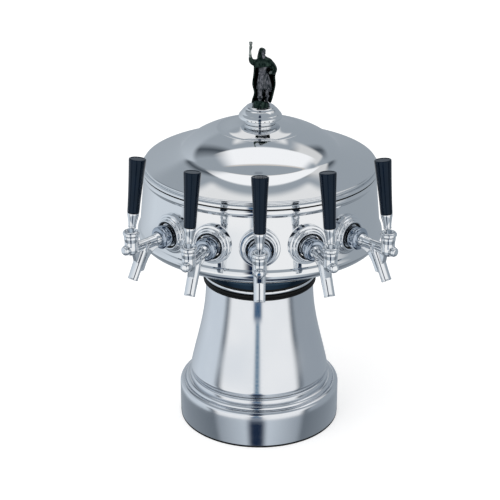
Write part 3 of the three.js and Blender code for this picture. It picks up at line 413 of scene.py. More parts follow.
def joined(first, *others):
    only(first)
    for other in others:
        other.select_set(True)
    bpy.ops.object.join()
    return first


def placed(piece, matrix):
    only(piece)
    piece.matrix_world = matrix
    bpy.ops.object.transform_apply(location=True, rotation=True, scale=True)
    return piece


def dress(piece, material, body="tower", stands_for=(), crease=35):
    only(piece)
    bpy.ops.object.shade_smooth_by_angle(angle=math.radians(crease))
    piece.data.materials.clear()
    piece.data.materials.append(material)
    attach(piece, body)
    if stands_for:
        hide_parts(*stands_for)
    print(f"{piece.name}: {len(piece.data.polygons)} faces on {body}")
    return piece


# %% [markdown]
# Every finish here is made in the same way, because each is a real skin with small faults in it: a
# noise mixes two shades of its colour, a noise varies its gloss, and a noise lifts its surface by a
# little bump. A finish is then a few facts: its colours, how rough it is, how strong and how high
# its relief is, and how wide, deep and high the grains of each noise are in millimetres. Where a
# use has no noise of its own it takes the gloss's, and with one colour nothing is mixed.

# %% The recipe for a finish
MIDDLE_OF_NOISE = (0.3, 0.7)
METAL = {"Metallic": 1}


def finish(name, settings, colours, roughness, relief, grains, mixing=(0, 1)):
    material = bpy.data.materials.new(name)
    material.use_nodes = True
    tree = material.node_tree
    shader = tree.nodes["Principled BSDF"]
    for socket, value in settings.items():
        shader.inputs[socket].default_value = value
    place = add_node(tree, "ShaderNodeTexCoord")
    noise = {}
    for use, (*sizes, detail) in grains.items():
        sized = add_node(tree, "ShaderNodeMapping", {
            "Vector": place.outputs["Object"], "Scale": [1 / (size * MM) for size in sizes],
        })
        noise[use] = add_node(tree, "ShaderNodeTexNoise", {
            "Vector": sized.outputs[0], "Scale": 1, "Detail": detail,
        }).outputs[0]
    rough = add_node(tree, "ShaderNodeMapRange", {
        "Value": noise["gloss"], "From Min": MIDDLE_OF_NOISE[0], "From Max": MIDDLE_OF_NOISE[1],
        "To Min": roughness[0], "To Max": roughness[1],
    })
    tree.links.new(rough.outputs[0], shader.inputs["Roughness"])
    if len(colours) == 1:
        shader.inputs["Base Color"].default_value = linear(colours[0])
    else:
        share = add_node(tree, "ShaderNodeMapRange", {
            "Value": noise.get("colour", noise["gloss"]), "From Min": mixing[0],
            "From Max": mixing[1], "To Min": 0, "To Max": 1,
        })
        tone = add_node(tree, "ShaderNodeMix", {
            "Factor": share.outputs[0], "A": linear(colours[0]), "B": linear(colours[1]),
        }, data_type="RGBA")
        tree.links.new(tone.outputs[2], shader.inputs["Base Color"])
    strength, lift = relief
    bump = add_node(tree, "ShaderNodeBump", {
        "Strength": strength, "Distance": lift * MM,
        "Height": noise.get("relief", noise["gloss"]),
    })
    tree.links.new(bump.outputs[0], shader.inputs["Normal"])
    print("made", name)
    return material


# %% [markdown]
# The drum and the lid are stainless steel sheet, spun and then polished on a felt wheel until they
# mirror the room. What is left of the work is very fine: faint rings where the wheel ran round,
# and soft clouds where the gloss varies. The steel's colour is a slightly cool grey.

# %% Polished stainless steel
POLISHED_STEEL = finish(
    "polished_stainless_steel", METAL, ["#e9ebed"], (0.02, 0.06), (0.012, 0.2),
    {"gloss": (45, 45, 30, 3), "relief": (60, 60, 0.9, 2)},
)

# %% [markdown]
# The base and the column are the same steel, but brushed round and round with fine grit and only
# lightly polished. Each scratch is a tiny groove round the axis, which smears a reflection up and
# down: the tent's walls become long soft upright stripes. That smear is the shader's anisotropy,
# and the lines themselves are noise that is long round the axis and under a millimetre high.

# %% Brushed stainless steel
BRUSHED_STEEL = finish(
    "brushed_stainless_steel", {**METAL, "Anisotropic": 0.7}, ["#dde1e6", "#e8eaed"],
    (0.07, 0.13), (0.03, 0.1), {"gloss": (70, 70, 0.8, 4), "colour": (38, 38, 60, 2)},
)

# %% [markdown]
# Taps are cast in brass and plated with chrome. The plating is brighter and bluer than steel and
# keeps the slight waves of the casting under it. The coupling nuts have a darker plating.

# %% Chrome plate
CHROME, DARK_CHROME = (
    finish(
        name, METAL, [chart], (0.03, 0.07), (0.03, 0.3),
        {"gloss": (9, 9, 9, 2), "relief": (5, 5, 5, 1)},
    )
    for name, chart in (
        ("chrome_plated_brass", "#e8ebee"), ("black_chrome_plated_brass", "#b2bcc8"),
    )
)

# %% [markdown]
# The handles are turned from black phenolic resin and polished. It is a hard glossy plastic, and its
# reflections are tinted blue: a painted blue reflection. Rubber seals the joints, in thin black rings
# that hardly shine.

# %% Black resin and rubber
RESIN = finish(
    "black_phenolic_resin",
    # Painted reflection: the blue specular tint colours every reflection on the handles.
    {"IOR": 1.6, "Specular IOR Level": 0.3, "Specular Tint": linear("#a9c6e6")},
    ["#03070d", "#071323"], (0.06, 0.12), (0.04, 0.1),
    {"gloss": (7, 7, 20, 2), "relief": (1.4, 1.4, 1.4, 1)},
)
RUBBER = finish(
    "black_nitrile_rubber", {"IOR": 1.52, "Specular IOR Level": 0.2}, ["#050606", "#0c0e0e"],
    (0.42, 0.62), (0.15, 0.1), {"gloss": (0.8, 0.8, 0.8, 3)},
)

# %% [markdown]
# The figure is cast bronze. A patina has turned it nearly black with green in it where nobody
# touches it. The raised arm, the far hand and the cup are a paler grey brown, partly rubbed by
# dusting and handling and partly a painted highlight. The patina comes in patches, so the two
# shades part more sharply than the noise itself does.

# %% Bronze: dark, worn, and rubbed with a painted highlight
# The rubbed bronze is partly wear and partly a painted highlight: its pale shade stands for light on
# the arm, the hand and the cup.
DARK_BRONZE, WORN_BRONZE, RUBBED_HIGHLIT_BRONZE = (
    finish(
        name, METAL, charts, roughness, (0.15, 0.15),
        {"gloss": (3, 3, 6, 4), "relief": (0.7, 0.7, 0.7, 3)}, mixing=(0.38, 0.62),
    )
    for name, charts, roughness in (
        ("patinated_bronze", ["#0f1b1a", "#35453f"], (0.16, 0.3)),
        ("worn_bronze", ["#2b3236", "#77787e"], (0.16, 0.3)),
        ("rubbed_highlit_bronze", ["#5f6864", "#b9c0bb"], (0.2, 0.32)),
    )
)

# %% [markdown]
# Inside the tower there are plainer things: a cast-iron plate with screw holes, a plastic pipe
# that holds cold air round the lines, foam, and steel tubes and rods. They show only from below or
# with the lid off, and still get the finish that they would have. The collar under the drum is
# steel in a dark blue grey, which is painted shade for the dark under the drum's bowl.

# %% Plain metals and plastics
CAST_IRON = finish(
    "painted_cast_iron", {}, ["#26282a", "#3a3d40"], (0.5, 0.7), (0.4, 0.2),
    {"gloss": (1.2, 1.2, 1.2, 4)},
)
PIPE = finish(
    "extruded_pvc", {}, ["#d9d6cc", "#e6e3da"], (0.35, 0.5), (0.1, 0.2),
    {"gloss": (12, 12, 40, 4)},
)
FOAM = finish(
    "polyurethane_foam", {}, ["#cdbf86", "#e0d6a6"], (0.9, 1.0), (0.6, 0.2),
    {"gloss": (1.5, 1.5, 1.5, 4)},
)
# Painted shade: the collar's dark blue grey stands in for the shadow under the drum's bowl.
SHADE_DARKENED_STEEL = finish(
    "shade_darkened_steel", METAL, ["#24323f", "#34485a"], (0.12, 0.2), (0.04, 0.2),
    {"gloss": (20, 20, 1.2, 4)},
)
TURNED_STEEL = finish(
    "turned_stainless_steel", METAL, ["#a5a9ae", "#b7babf"], (0.22, 0.34), (0.05, 0.2),
    {"gloss": (3, 3, 0.4, 4)},
)
CARRIED_OVER = {
    "base_plate": CAST_IRON,
    "core_tube": PIPE,
    "column_insulation": FOAM,
    "tie_rod": TURNED_STEEL,
}
for number in range(1, 6):
    for node in ("shank", "valve_shaft", "beer_line"):
        CARRIED_OVER[f"{node}_{number}"] = TURNED_STEEL
for node, material in CARRIED_OVER.items():
    frame["nodes"][node].data.materials.clear()
    frame["nodes"][node].data.materials.append(material)
print("finishes on", len(CARRIED_OVER), "CAD nodes")

# %% [markdown]
# The base is a shallow pan turned upside down. Its side ends in a soft shoulder, and above it two
# turned rings step in to the column. A spun outline gives all of it at once, and the solidify
# modifier gives the sheet its wall.

# %% Base cover and its rubber ring
SHEET = 1.6
BASE_SHOULDER = 7
BASE_GROOVE = 1.4
BASE_BEAD = 5.4
BASE_RING = 3.2
BASE_STEP = 1.2
BASE_FLANGE = 5
GASKET_EASE = 0.4
base_radius, base_foot, base_top = extent("base_cover")
base_shelf = base_top - BASE_BEAD - BASE_STEP - 2 * BASE_RING
groove_radius = base_radius - BASE_SHOULDER - BASE_GROOVE
bead_radius = groove_radius - BASE_BEAD
ring_radius = bead_radius - BASE_STEP
base_outline = [
    (base_radius - BASE_FLANGE, base_foot),
    *arc(base_radius - 1, base_foot + 1, 1, -90, 0, 3),
    *arc(base_radius - BASE_SHOULDER, base_shelf - BASE_SHOULDER, BASE_SHOULDER, 0, 84, 12),
    (groove_radius + 0.7, base_shelf - 0.6),
    (groove_radius, base_shelf - BASE_GROOVE),
    *arc(bead_radius, base_shelf, BASE_BEAD, 0, 90, 12),
    (ring_radius, base_shelf + BASE_BEAD),
    *arc(ring_radius - BASE_RING, base_top - BASE_RING, BASE_RING, 0, 90, 9),
    (ring_radius - 4 * BASE_RING, base_top),
]
base_cover = walled(spun("base_cover_sheet", base_outline), SHEET)
dress(base_cover, BRUSHED_STEEL, stands_for=["base_cover"])

gasket_radius, gasket_foot, gasket_top = extent("base_gasket")
gasket_bore = gasket_radius - BASE_FLANGE
base_gasket = ring("base_gasket_ring", gasket_bore, gasket_radius, gasket_foot, gasket_top)
eased(base_gasket, GASKET_EASE)
dress(base_gasket, RUBBER, stands_for=["base_gasket"])

# %% [markdown]
# The column swells out just above its foot and then narrows in one long S to the neck. A cubic
# curve with its two handles on the flare's own line draws it without a kink.

# %% Column
COLUMN_FOOT_RADIUS = 98.2
COLUMN_BELLY_RISE = 11
COLUMN_BELLY = 101
NECK_RADIUS = 78.4
COLUMN_SEAT = 9
_, column_foot, column_top = extent("column_shell")
belly_height = column_foot + COLUMN_BELLY_RISE
flare_rise = column_top - belly_height
flare_run = COLUMN_BELLY - NECK_RADIUS
column_outline = [
    *curve(
        (COLUMN_FOOT_RADIUS, column_foot),
        (COLUMN_FOOT_RADIUS + 2.4, column_foot + 1.4),
        (COLUMN_BELLY + 1.2, belly_height - 5.4),
        (COLUMN_BELLY, belly_height), 10,
    ),
    *curve(
        (COLUMN_BELLY, belly_height),
        (NECK_RADIUS + flare_run * 0.63, column_top - flare_rise * 0.7),
        (NECK_RADIUS - flare_run * 0.03, column_top - flare_rise * 0.39),
        (NECK_RADIUS, column_top - 0.6), 40,
    )[1:],
    (NECK_RADIUS - 0.6, column_top),
    (NECK_RADIUS - COLUMN_SEAT, column_top),
]
column = walled(spun("column_sheet", column_outline), SHEET)
dress(column, BRUSHED_STEEL, stands_for=["column_shell"])

# %% [markdown]
# Three rings join the column to the drum: a black rubber band, a polished half-round bead and a
# collar that widens upwards. Each is a closed outline, so the spun mesh is a closed ring.

# %% Neck rings
NECK_BORE = 66
BAND_EASE = 1
BAND_NICK = 0.8
band_radius, band_foot, band_top = extent("neck_gasket")
band_middle = (band_foot + band_top) / 2
band = spun("neck_band", [
    (NECK_BORE, band_foot),
    *arc(band_radius - BAND_EASE, band_foot + BAND_EASE, BAND_EASE, -90, 0, 4),
    (band_radius, band_middle - BAND_NICK),
    (band_radius - BAND_NICK, band_middle),
    (band_radius, band_middle + BAND_NICK),
    *arc(band_radius - BAND_EASE, band_top - BAND_EASE, BAND_EASE, 0, 90, 4),
    (NECK_BORE, band_top),
    (NECK_BORE, band_foot),
])
dress(band, RUBBER, stands_for=["neck_gasket"])

bead_out, bead_foot, bead_top = extent("neck_bead_ring")
bead_size = (bead_top - bead_foot) / 2
neck_bead = spun("neck_bead", [
    (NECK_BORE, bead_foot),
    *arc(bead_out - bead_size, (bead_foot + bead_top) / 2, bead_size, -90, 90, 16),
    (NECK_BORE, bead_top),
    (NECK_BORE, bead_foot),
])
dress(neck_bead, POLISHED_STEEL, stands_for=["neck_bead_ring"])

collar_radius, collar_foot, collar_top = extent("neck_collar")
COLLAR_FOOT_RADIUS = 84
GROOVE = 3
GROOVE_SINK = 0.6
GROOVE_PLAY = 0.1
COLLAR_LIP = 0.8
COLLAR_EASE = 0.3
collar_step = collar_radius - COLLAR_FOOT_RADIUS
groove_top = collar_foot + GROOVE - GROOVE_PLAY
# A black rubber ring fills the groove under the collar: a dark piece put there as painted shade for the
# groove's shadow.
shadow_groove_ring = ring("shadow_groove_ring", NECK_BORE, COLLAR_FOOT_RADIUS - GROOVE_SINK, collar_foot, groove_top)
dress(shadow_groove_ring, RUBBER)
collar = eased(spun("neck_collar_ring", [
    (NECK_BORE, collar_foot + GROOVE),
    (COLLAR_FOOT_RADIUS, collar_foot + GROOVE),
    (COLLAR_FOOT_RADIUS, collar_top - collar_step - COLLAR_LIP),
    *arc(collar_radius, collar_top - COLLAR_LIP, collar_step, 180, 90, 8)[:-1],
    (collar_radius, collar_top),
    (NECK_BORE, collar_top),
    (NECK_BORE, collar_foot + GROOVE),
]), COLLAR_EASE)
# The collar wears the painted shade of the dark under the drum.
dress(collar, SHADE_DARKENED_STEEL, stands_for=["neck_collar"])
print("neck rings stand from", round(band_foot, 1), "to", round(collar_top, 1), "mm")

# %% [markdown]
# The drum is one spun sheet: a shallow bowl below, a rolled rim where bowl and wall meet, a wall
# that leans in slightly, and a rolled bead at the top that carries the lid. Five holes take the
# taps' shanks; a boolean modifier bores them.

# %% Drum
FLOOR_BORE = 54
FLOOR_RADIUS = 90
ROLL = 3.1
ROLL_HEIGHT = 16
BOWL_DEPTH = 40
WALL_TOP_RADIUS = 164.3
RIM_RADIUS = 167.4
RIM_BEAD = 10
RIM_LEDGE = 9
roll_radius, drum_foot, drum_top = extent("head_shell")
wall_foot_radius = roll_radius - ROLL
roll_foot = drum_foot + BOWL_DEPTH
roll_top = roll_foot + ROLL_HEIGHT
rim_foot = drum_top - RIM_BEAD


def bulge(low, high, depth, steps=12):
    """A round swelling between two points of an outline, as deep as given."""
    (low_r, low_z), (high_r, high_z) = low, high
    half = math.hypot(high_r - low_r, high_z - low_z) / 2
    across = ((high_z - low_z) / (2 * half), -(high_r - low_r) / (2 * half))
    size = (half * half + depth * depth) / (2 * depth)
    reach = math.asin(half / size)
    points = []
    for i in range(steps + 1):
        angle = -reach + 2 * reach * i / steps
        along = (math.sin(angle) * size / half + 1) / 2
        out = size * (math.cos(angle) - math.cos(reach))
        points.append((
            low_r + (high_r - low_r) * along + across[0] * out,
            low_z + (high_z - low_z) * along + across[1] * out,
        ))
    return points


drum_outline = [
    (FLOOR_BORE, drum_foot),
    (FLOOR_RADIUS - 4, drum_foot),
    *curve(
        (FLOOR_RADIUS, drum_foot + 0.4), (FLOOR_RADIUS + 30, drum_foot + 12),
        (wall_foot_radius - 22, roll_foot - 14), (wall_foot_radius - 1.4, roll_foot - 1), 20,
    ),
    *bulge((wall_foot_radius, roll_foot + 0.6), (wall_foot_radius, roll_top), ROLL, 16),
    (wall_foot_radius - 0.5, roll_top + 0.6),
    (WALL_TOP_RADIUS + 0.3, rim_foot - 0.4),
    *bulge(
        (WALL_TOP_RADIUS + 0.6, rim_foot), (WALL_TOP_RADIUS + 1.8, drum_top),
        RIM_RADIUS - WALL_TOP_RADIUS - 1.4,
    ),
    (RIM_RADIUS - RIM_LEDGE, drum_top),
]
drum = walled(spun("drum_sheet", drum_outline), SHEET)
print("drum outline has", len(drum_outline), "points")

# %% Holes for the shanks
pivots = {
    number: Vector(joint["pos_m"])
    for number in range(1, 6)
    for joint in frame["record"]["behaviour"]["joints"]
    if joint["name"] == f"lever_{number}_tip"
}
tap_turn = {number: math.atan2(pivot.x, -pivot.y) for number, pivot in pivots.items()}
barrel_out = math.hypot(pivots[3].x, pivots[3].y) / MM
nut_low, nut_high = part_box("coupling_nut_3")
tap_height = (nut_low.z + nut_high.z) / 2 / MM
pivot_rise = pivots[3].z / MM - tap_height
SHANK_HOLE = 11.5
HOLE_FROM = 150
HOLE_TO = 190
OUTWARD = Matrix.Translation((0, 0, tap_height * MM)) @ Matrix.Rotation(math.pi / 2, 4, "X")


def bored(piece, cutter):
    modify(piece, "BOOLEAN", object=cutter, operation="DIFFERENCE", solver="EXACT")
    bpy.data.objects.remove(cutter)
    return piece


for number, angle in tap_turn.items():
    borer = spun("borer", [
        (0, HOLE_FROM), (SHANK_HOLE, HOLE_FROM), (SHANK_HOLE, HOLE_TO), (0, HOLE_TO),
    ], TAP_TURNS)
    bored(drum, placed(borer, Matrix.Rotation(angle, 4, "Z") @ OUTWARD))
dress(drum, POLISHED_STEEL, stands_for=["head_shell"])
print("taps stand", round(barrel_out, 1), "mm out and", round(tap_height, 1), "mm up")

# %% [markdown]
# The lid is a low dome. A small bell rises from its middle to the finial and ends in a crease. The
# dome runs down in a hollow curve to a broad brim, and its edge is rolled. A thin dark line under
# the roll and a rubber ring under the flange part it from the drum.

# %% Lid
LID_CROWN_RADIUS = 22
LID_CREASE = (61.4, 57.9)
LID_SHOULDER = (111, 29.4)
LID_BRIM = (163, 9.3)
LID_GROOVE = (162.8, 5.6)
LID_FLANGE = 4.4
LID_ROLL_DEPTH = 2.4
LID_SHEET = 1.2
LID_TURNS = 240
SEAL_EASE = 0.3
_, lid_foot, lid_top = extent("lid_dome")
lid_rise = lid_top - lid_foot


def eased_curve(start, end, out_shares, drop_shares, steps):
    handles = [
        (start[0] + (end[0] - start[0]) * out, start[1] + (end[1] - start[1]) * drop)
        for out, drop in zip(out_shares, drop_shares)
    ]
    return curve(start, *handles, end, steps)


lid_outline = raised([
    (7, lid_rise),
    *eased_curve((LID_CROWN_RADIUS, lid_rise), LID_CREASE, (0.41, 0.61), (0.1, 0.96), 30),
    *eased_curve(LID_CREASE, LID_SHOULDER, (0.145, 0.68), (0.093, 0.37), 40)[1:],
    *eased_curve(LID_SHOULDER, LID_BRIM, (0.117, 0.67), (0.344, 0.787), 32)[1:],
    *bulge(LID_GROOVE, (LID_BRIM[0] + 0.8, LID_BRIM[1] - 0.4), LID_ROLL_DEPTH)[::-1],
    (LID_GROOVE[0] + 0.2, LID_FLANGE + 0.4),
    (RIM_RADIUS - 0.8, LID_FLANGE),
    (RIM_RADIUS, LID_FLANGE - 0.8),
    (RIM_RADIUS, 0.6),
    (RIM_RADIUS - 0.6, 0),
    (RIM_RADIUS - RIM_LEDGE, 0),
], lid_foot)
lid = walled(spun("lid_sheet", lid_outline, LID_TURNS), LID_SHEET)
dress(lid, POLISHED_STEEL, stands_for=["lid_dome"])

seal_radius, seal_foot, seal_top = extent("lid_gasket")
lid_seal = ring("lid_seal", RIM_RADIUS - RIM_LEDGE, seal_radius, seal_foot, seal_top)
eased(lid_seal, SEAL_EASE)
dress(lid_seal, RUBBER, stands_for=["lid_gasket"])

# %% [markdown]
# The finial is turned from solid bar: a narrow neck under a broad ring, then two smaller steps up
# to the flat top that carries the figure.

# %% Finial
FINIAL_NECK = 22
FINIAL_RING = 31.2
FINIAL_SHOULDER = 27.6
FINIAL_COLLAR = 21.6
FINIAL_TOP = 16.4
FINIAL_EASE = 0.25
_, finial_foot, finial_top = extent("finial_base")
finial_rise = finial_top - finial_foot
finial = eased(spun("finial_turning", raised([
    (0, 0), (FINIAL_NECK, 0), (FINIAL_NECK, 4.6), *arc(FINIAL_NECK + 2, 4.6, 2, 180, 90, 6),
    (FINIAL_RING - 1.8, 7.2), *bulge((FINIAL_RING - 0.9, 7.7), (FINIAL_RING - 2.6, 13.4), 0.8),
    (FINIAL_RING - 3.2, 14.2), (FINIAL_SHOULDER, 14.5),
    *curve(
        (FINIAL_SHOULDER - 0.4, 14.9), (FINIAL_SHOULDER - 1.4, 17), (FINIAL_COLLAR + 2.2, 19.4),
        (FINIAL_COLLAR + 1, 20.4), 10,
    ),
    (FINIAL_COLLAR, 20.8), *bulge((FINIAL_COLLAR - 0.3, 21.3), (FINIAL_TOP + 0.8, 24.2), 0.7, 8),
    (FINIAL_TOP, finial_rise), (0, finial_rise),
], finial_foot)), FINIAL_EASE)
dress(finial, POLISHED_STEEL, stands_for=["finial_base"])

# %% [markdown]
# The figure is sculpted as a founder's wax is built: rolled limbs and sheets are laid over each
# other, melted into one skin by a remesh, and smoothed. Each limb runs through a few stations, with
# its place, its half width and depth, and how deep its folds are, all in millimetres.

# %% Limbs and sheets
FIGURE_VOXEL = 0.36


def smoothed(stations, steps=4):
    """Adds stations in between, on a curve through the given ones."""
    padded = [stations[0], *stations, stations[-1]]
    result = []
    for before, start, end, after in zip(padded, padded[1:], padded[2:], padded[3:]):
        for t in (i / steps for i in range(steps)):
            result.append(tuple(
                (2 * s + (e - b) * t + (2 * b - 5 * s + 4 * e - a) * t ** 2
                 + (3 * s - b - 3 * e + a) * t ** 3) / 2
                for b, s, e, a in zip(before, start, end, after)
            ))
    return [*result, stations[-1]]


def lofted(name, rings):
    """A skin over rings of points. A point at each end closes it."""
    sides = len(rings[0])
    first, last = (sum(end, Vector()) / sides for end in (rings[0], rings[-1]))
    rings = [[first] * sides, *rings, [last] * sides]
    piece = added(
        bpy.ops.mesh.primitive_grid_add, name,
        x_subdivisions=sides, y_subdivisions=len(rings) - 1, size=MM,
    )
    for index, vertex in enumerate(piece.data.vertices):
        row, column = divmod(index, sides + 1)
        vertex.co = rings[row][column % sides] * MM
    bpy.ops.object.mode_set(mode="EDIT")
    bpy.ops.mesh.select_all(action="SELECT")
    bpy.ops.mesh.remove_doubles(threshold=SAME_PLACE)
    bpy.ops.mesh.normals_make_consistent(inside=False)
    bpy.ops.object.mode_set(mode="OBJECT")
    return piece


def limb(name, stations, folds=1, base=0, sides=48):
    """Stations: across, back, height over the base, half width, half depth, fold."""
    stations = smoothed([(x, y, base + z, *rest) for x, y, z, *rest in stations])
    spots = [Vector(station[:3]) for station in stations]
    rings = []
    for index, (*_, wide, deep, fold) in enumerate(stations):
        ahead = spots[min(index + 1, len(spots) - 1)] - spots[max(index - 1, 0)]
        side = Vector((0, 1, 0)).cross(ahead).normalized()
        out = ahead.normalized().cross(side)
        rings.append([
            spots[index]
            + (side * wide * math.sin(a) - out * deep * math.cos(a)) * (1 + fold * math.cos(folds * a))
            for a in (2 * math.pi * i / sides for i in range(sides))
        ])
    return lofted(name, rings)


def mantle(name, stations, thick, folds, base, sides=40):
    """A sheet behind the back. Stations: height over the base, left, right, front edge, depth, fold."""
    rings = []
    for rise, left, right, edge, deep, fold in smoothed([(base + z, *rest) for z, *rest in stations]):
        middle, half = (left + right) / 2, (right - left) / 2
        turns = [math.pi * i / sides for i in range(sides + 1)]
        outer = [Vector((
            middle - half * math.cos(a),
            edge + (deep + fold * math.cos(folds * a)) * math.sin(a), rise,
        )) for a in turns]
        inner = [Vector((
            middle + (half - thick) * math.cos(a),
            edge + (deep - thick + fold * math.cos(folds * (math.pi - a))) * math.sin(a), rise,
        )) for a in turns]
        rings.append(outer + inner)
    return lofted(name, rings)


def cast(first, *others, smooth=3):
    wax = joined(first, *others)
    modify(wax, "REMESH", mode="VOXEL", voxel_size=FIGURE_VOXEL * MM)
    return modify(wax, "SMOOTH", factor=0.5, iterations=smooth)


figure_low, figure_high = (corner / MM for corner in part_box("figurine"))
print("figure stands in", [round(v, 1) for v in (*figure_low, *figure_high)])

# %% Cloak, sleeves and ground
foot = figure_low.z
ground = limb("ground", [
    (0.8, 0, 0, 12.2, 12.4, 0), (0.8, 0, 1.2, 12.1, 12.3, 0.02), (1, 0.6, 2.2, 11, 11.4, 0.04),
    (1.2, 1.4, 3.4, 9.4, 9.4, 0.06), (1.4, 2, 4.2, 6, 6, 0.08),
], 7, foot)
cloak = mantle("cloak", [
    (66.5, -4, 11, -1, 5.6, 0), (64, -8, 14, -2, 7.4, 0.1), (58, -9.5, 19, -4, 10.6, 0.2),
    (51, -9.6, 21.8, -5.6, 14, 0.3), (42, -10.4, 20.4, -3, 14.2, 0.5),
    (30, -11.6, 21, -1.6, 13.6, 0.7), (18, -9.2, 18.8, -1, 12.6, 0.8),
    (8, -11.8, 16.4, -1.4, 12.6, 0.9), (3, -12.6, 14.6, -0.6, 12, 1),
], 2.4, 14, foot)
cape = limb("cape", [
    (3.2, 0.4, 70, 3.6, 3.8, 0), (3.2, 0.6, 67.6, 7, 5.8, 0.01), (3.4, 0.6, 64.6, 11.4, 7.4, 0.02),
    (3.8, 0.5, 60.6, 13.4, 8.4, 0.03), (4.2, 0.4, 56.4, 13.2, 8.6, 0.04),
    (4.2, 0.6, 57.4, 10, 6.4, 0.02),
], 13, foot)
near_sleeve = limb("near_sleeve", [
    (-3, 0.4, 59.6, 5.4, 4.8, 0), (-7.6, 0, 60.4, 5, 4.4, 0.05), (-11.6, -0.8, 62.6, 4, 3.6, 0.07),
    (-13.4, -1.4, 65.6, 3, 3, 0.07), (-14.1, -1.8, 69.4, 2.3, 2.4, 0.05),
], 7, foot)
far_sleeve = limb("far_sleeve", [
    (10, 0.4, 62.4, 5, 4.8, 0), (14.6, 0.8, 57.6, 5, 4.8, 0.05), (17.8, 0.4, 52, 4.8, 4.6, 0.06),
    (17.6, -4, 49.2, 4, 4, 0.07), (15.6, -7.6, 49.4, 3, 3, 0.06),
], 7, foot)
hair = limb("hair", [
    (3, 1.2, 81, 2, 2.2, 0), (2.6, 1.3, 79.6, 4.2, 4.6, 0.03), (2, 1.7, 76.4, 4.9, 5, 0.05),
    (1, 2.2, 72, 4.8, 4.4, 0.07), (0, 2.2, 67.6, 4.6, 4, 0.09), (-1, 1.2, 64, 3.6, 3.4, 0.1),
    (-1.4, 0.6, 61.8, 2, 2, 0.1),
], 13, foot)
dark_parts = cast(ground, cloak, cape, near_sleeve, far_sleeve, hair)
dress(dark_parts, DARK_BRONZE, stands_for=["figurine"], crease=60)

# %% Tunic, belt and boots
tunic = limb("tunic", [
    (3.4, 0, 62, 7.6, 5.6, 0), (3.2, -0.6, 57, 8.4, 6.8, 0.02), (3.3, -0.8, 51, 7.8, 6.6, 0.02),
    (3.5, -0.8, 47, 7, 6, 0.03), (4, -0.8, 43, 7.9, 6.8, 0.05), (4.7, -0.8, 35, 9.6, 7.8, 0.07),
    (5.3, -0.8, 27, 10.8, 8.4, 0.08), (5.4, -0.8, 25.2, 10.9, 8.5, 0.08),
    (5.4, -0.6, 26.4, 8.6, 6.4, 0.04),
], 11, foot)
belt = limb("belt", [
    (3.5, -0.8, 45, 7.2, 6.3, 0), (3.5, -0.8, 45.6, 7.9, 7, 0), (3.5, -0.8, 48, 7.9, 7, 0),
    (3.5, -0.8, 48.6, 7.2, 6.3, 0),
], base=foot)
HIP = 28
LEG_STATIONS = [
    (HIP, 3.4, 3.6, 0), (20, 3.4, 3.6, 0), (15.2, 3.2, 3.4, 0), (14, 4, 4.1, 0.05),
    (11.8, 3.8, 3.9, 0.05), (10.6, 2.9, 3.1, 0.02), (6, 2.4, 2.7, 0), (2.6, 2.6, 3, 0),
]
legs = [limb("leg", [
    (x, y - stride * (HIP - rise) / HIP, rise, wide, deep, fold)
    for rise, wide, deep, fold in LEG_STATIONS
], 6, foot) for x, y, stride in ((-0.6, -2.2, 4.6), (8.8, 0.8, 1.4))]
boots = [limb("boot", [
    (x, y + 2.2, 2.6, 1.2, 1.6, 0), (x, y, 2.9, 2, 2.2, 0),
    (x + lean / 2, y - 2.6, 2.8, 1.8, 2.3, 0), (x + lean, y - 4.6, 2.4, 1.3, 1.9, 0),
    (x + lean * 1.1, y - 5.4, 2.2, 0.6, 1, 0),
], base=foot) for x, y, lean in ((-0.6, -6.8, 0.9), (8.8, -1.4, 2.2))]
worn_parts = cast(tunic, belt, *legs, *boots)
dress(worn_parts, WORN_BRONZE, crease=60)
print("tunic, belt and boots are cast")

# %% [markdown]
# The head is a plain calm one on a draughtsman's proportions: the eyes half way down, the nose half
# way from them to the chin, the mouth a third of the rest. It looks a little to the side.

# %% Head, beard, hands and cup
HEAD_HALF = 4.6
HEAD_TURN = math.radians(22)
HEAD_PLACE = (3.1, 0.2, 75.4)
CUP_PLACE = (-13.6, -2.9, -4.8)
eye_line = 0
nose_line = -HEAD_HALF / 2
mouth_line = -HEAD_HALF * 2 / 3
skull = limb("skull", [
    (0, 0.2, HEAD_HALF, 1.6, 1.8, 0), (0, 0.2, HEAD_HALF * 0.8, 3, 3.5, 0),
    (0, 0, HEAD_HALF * 0.35, 3.7, 4.2, 0), (0, 0, eye_line, 3.6, 4, 0),
    (0, -0.3, nose_line, 3.2, 3.7, 0), (0, -0.9, mouth_line, 2.6, 3, 0),
    (0, -1.4, -HEAD_HALF, 1.5, 1.6, 0),
])
neck_form = limb("neck_form", [
    (0, 0.6, -3, 2.4, 2.4, 0), (0, 0.9, -HEAD_HALF - 3, 2.6, 2.6, 0),
    (0, 1, -HEAD_HALF - 6, 3.4, 3, 0),
])
nose = limb("nose", [
    (0, -3.7, eye_line + 0.4, 0.45, 0.5, 0), (0, -4.2, (eye_line + nose_line) / 2, 0.55, 0.7, 0),
    (0, -4.5, nose_line + 0.3, 0.8, 0.9, 0), (0, -4, nose_line - 0.3, 0.5, 0.5, 0),
])
brow = limb("brow", [
    (-2.6, -2.9, eye_line + 0.9, 0.4, 0.4, 0), (-1.2, -3.8, eye_line + 1.3, 0.5, 0.5, 0),
    (0, -3.9, eye_line + 1.1, 0.5, 0.45, 0), (1.2, -3.8, eye_line + 1.3, 0.5, 0.5, 0),
    (2.6, -2.9, eye_line + 0.9, 0.4, 0.4, 0),
])
cheeks = [limb("cheek", [
    (side * 1.4, -3.2, nose_line + 1.2, 0.5, 0.5, 0),
    (side * 2, -2.9, nose_line + 0.9, 0.9, 0.8, 0), (side * 2.8, -2, nose_line + 1, 0.6, 0.6, 0),
]) for side in (-1, 1)]
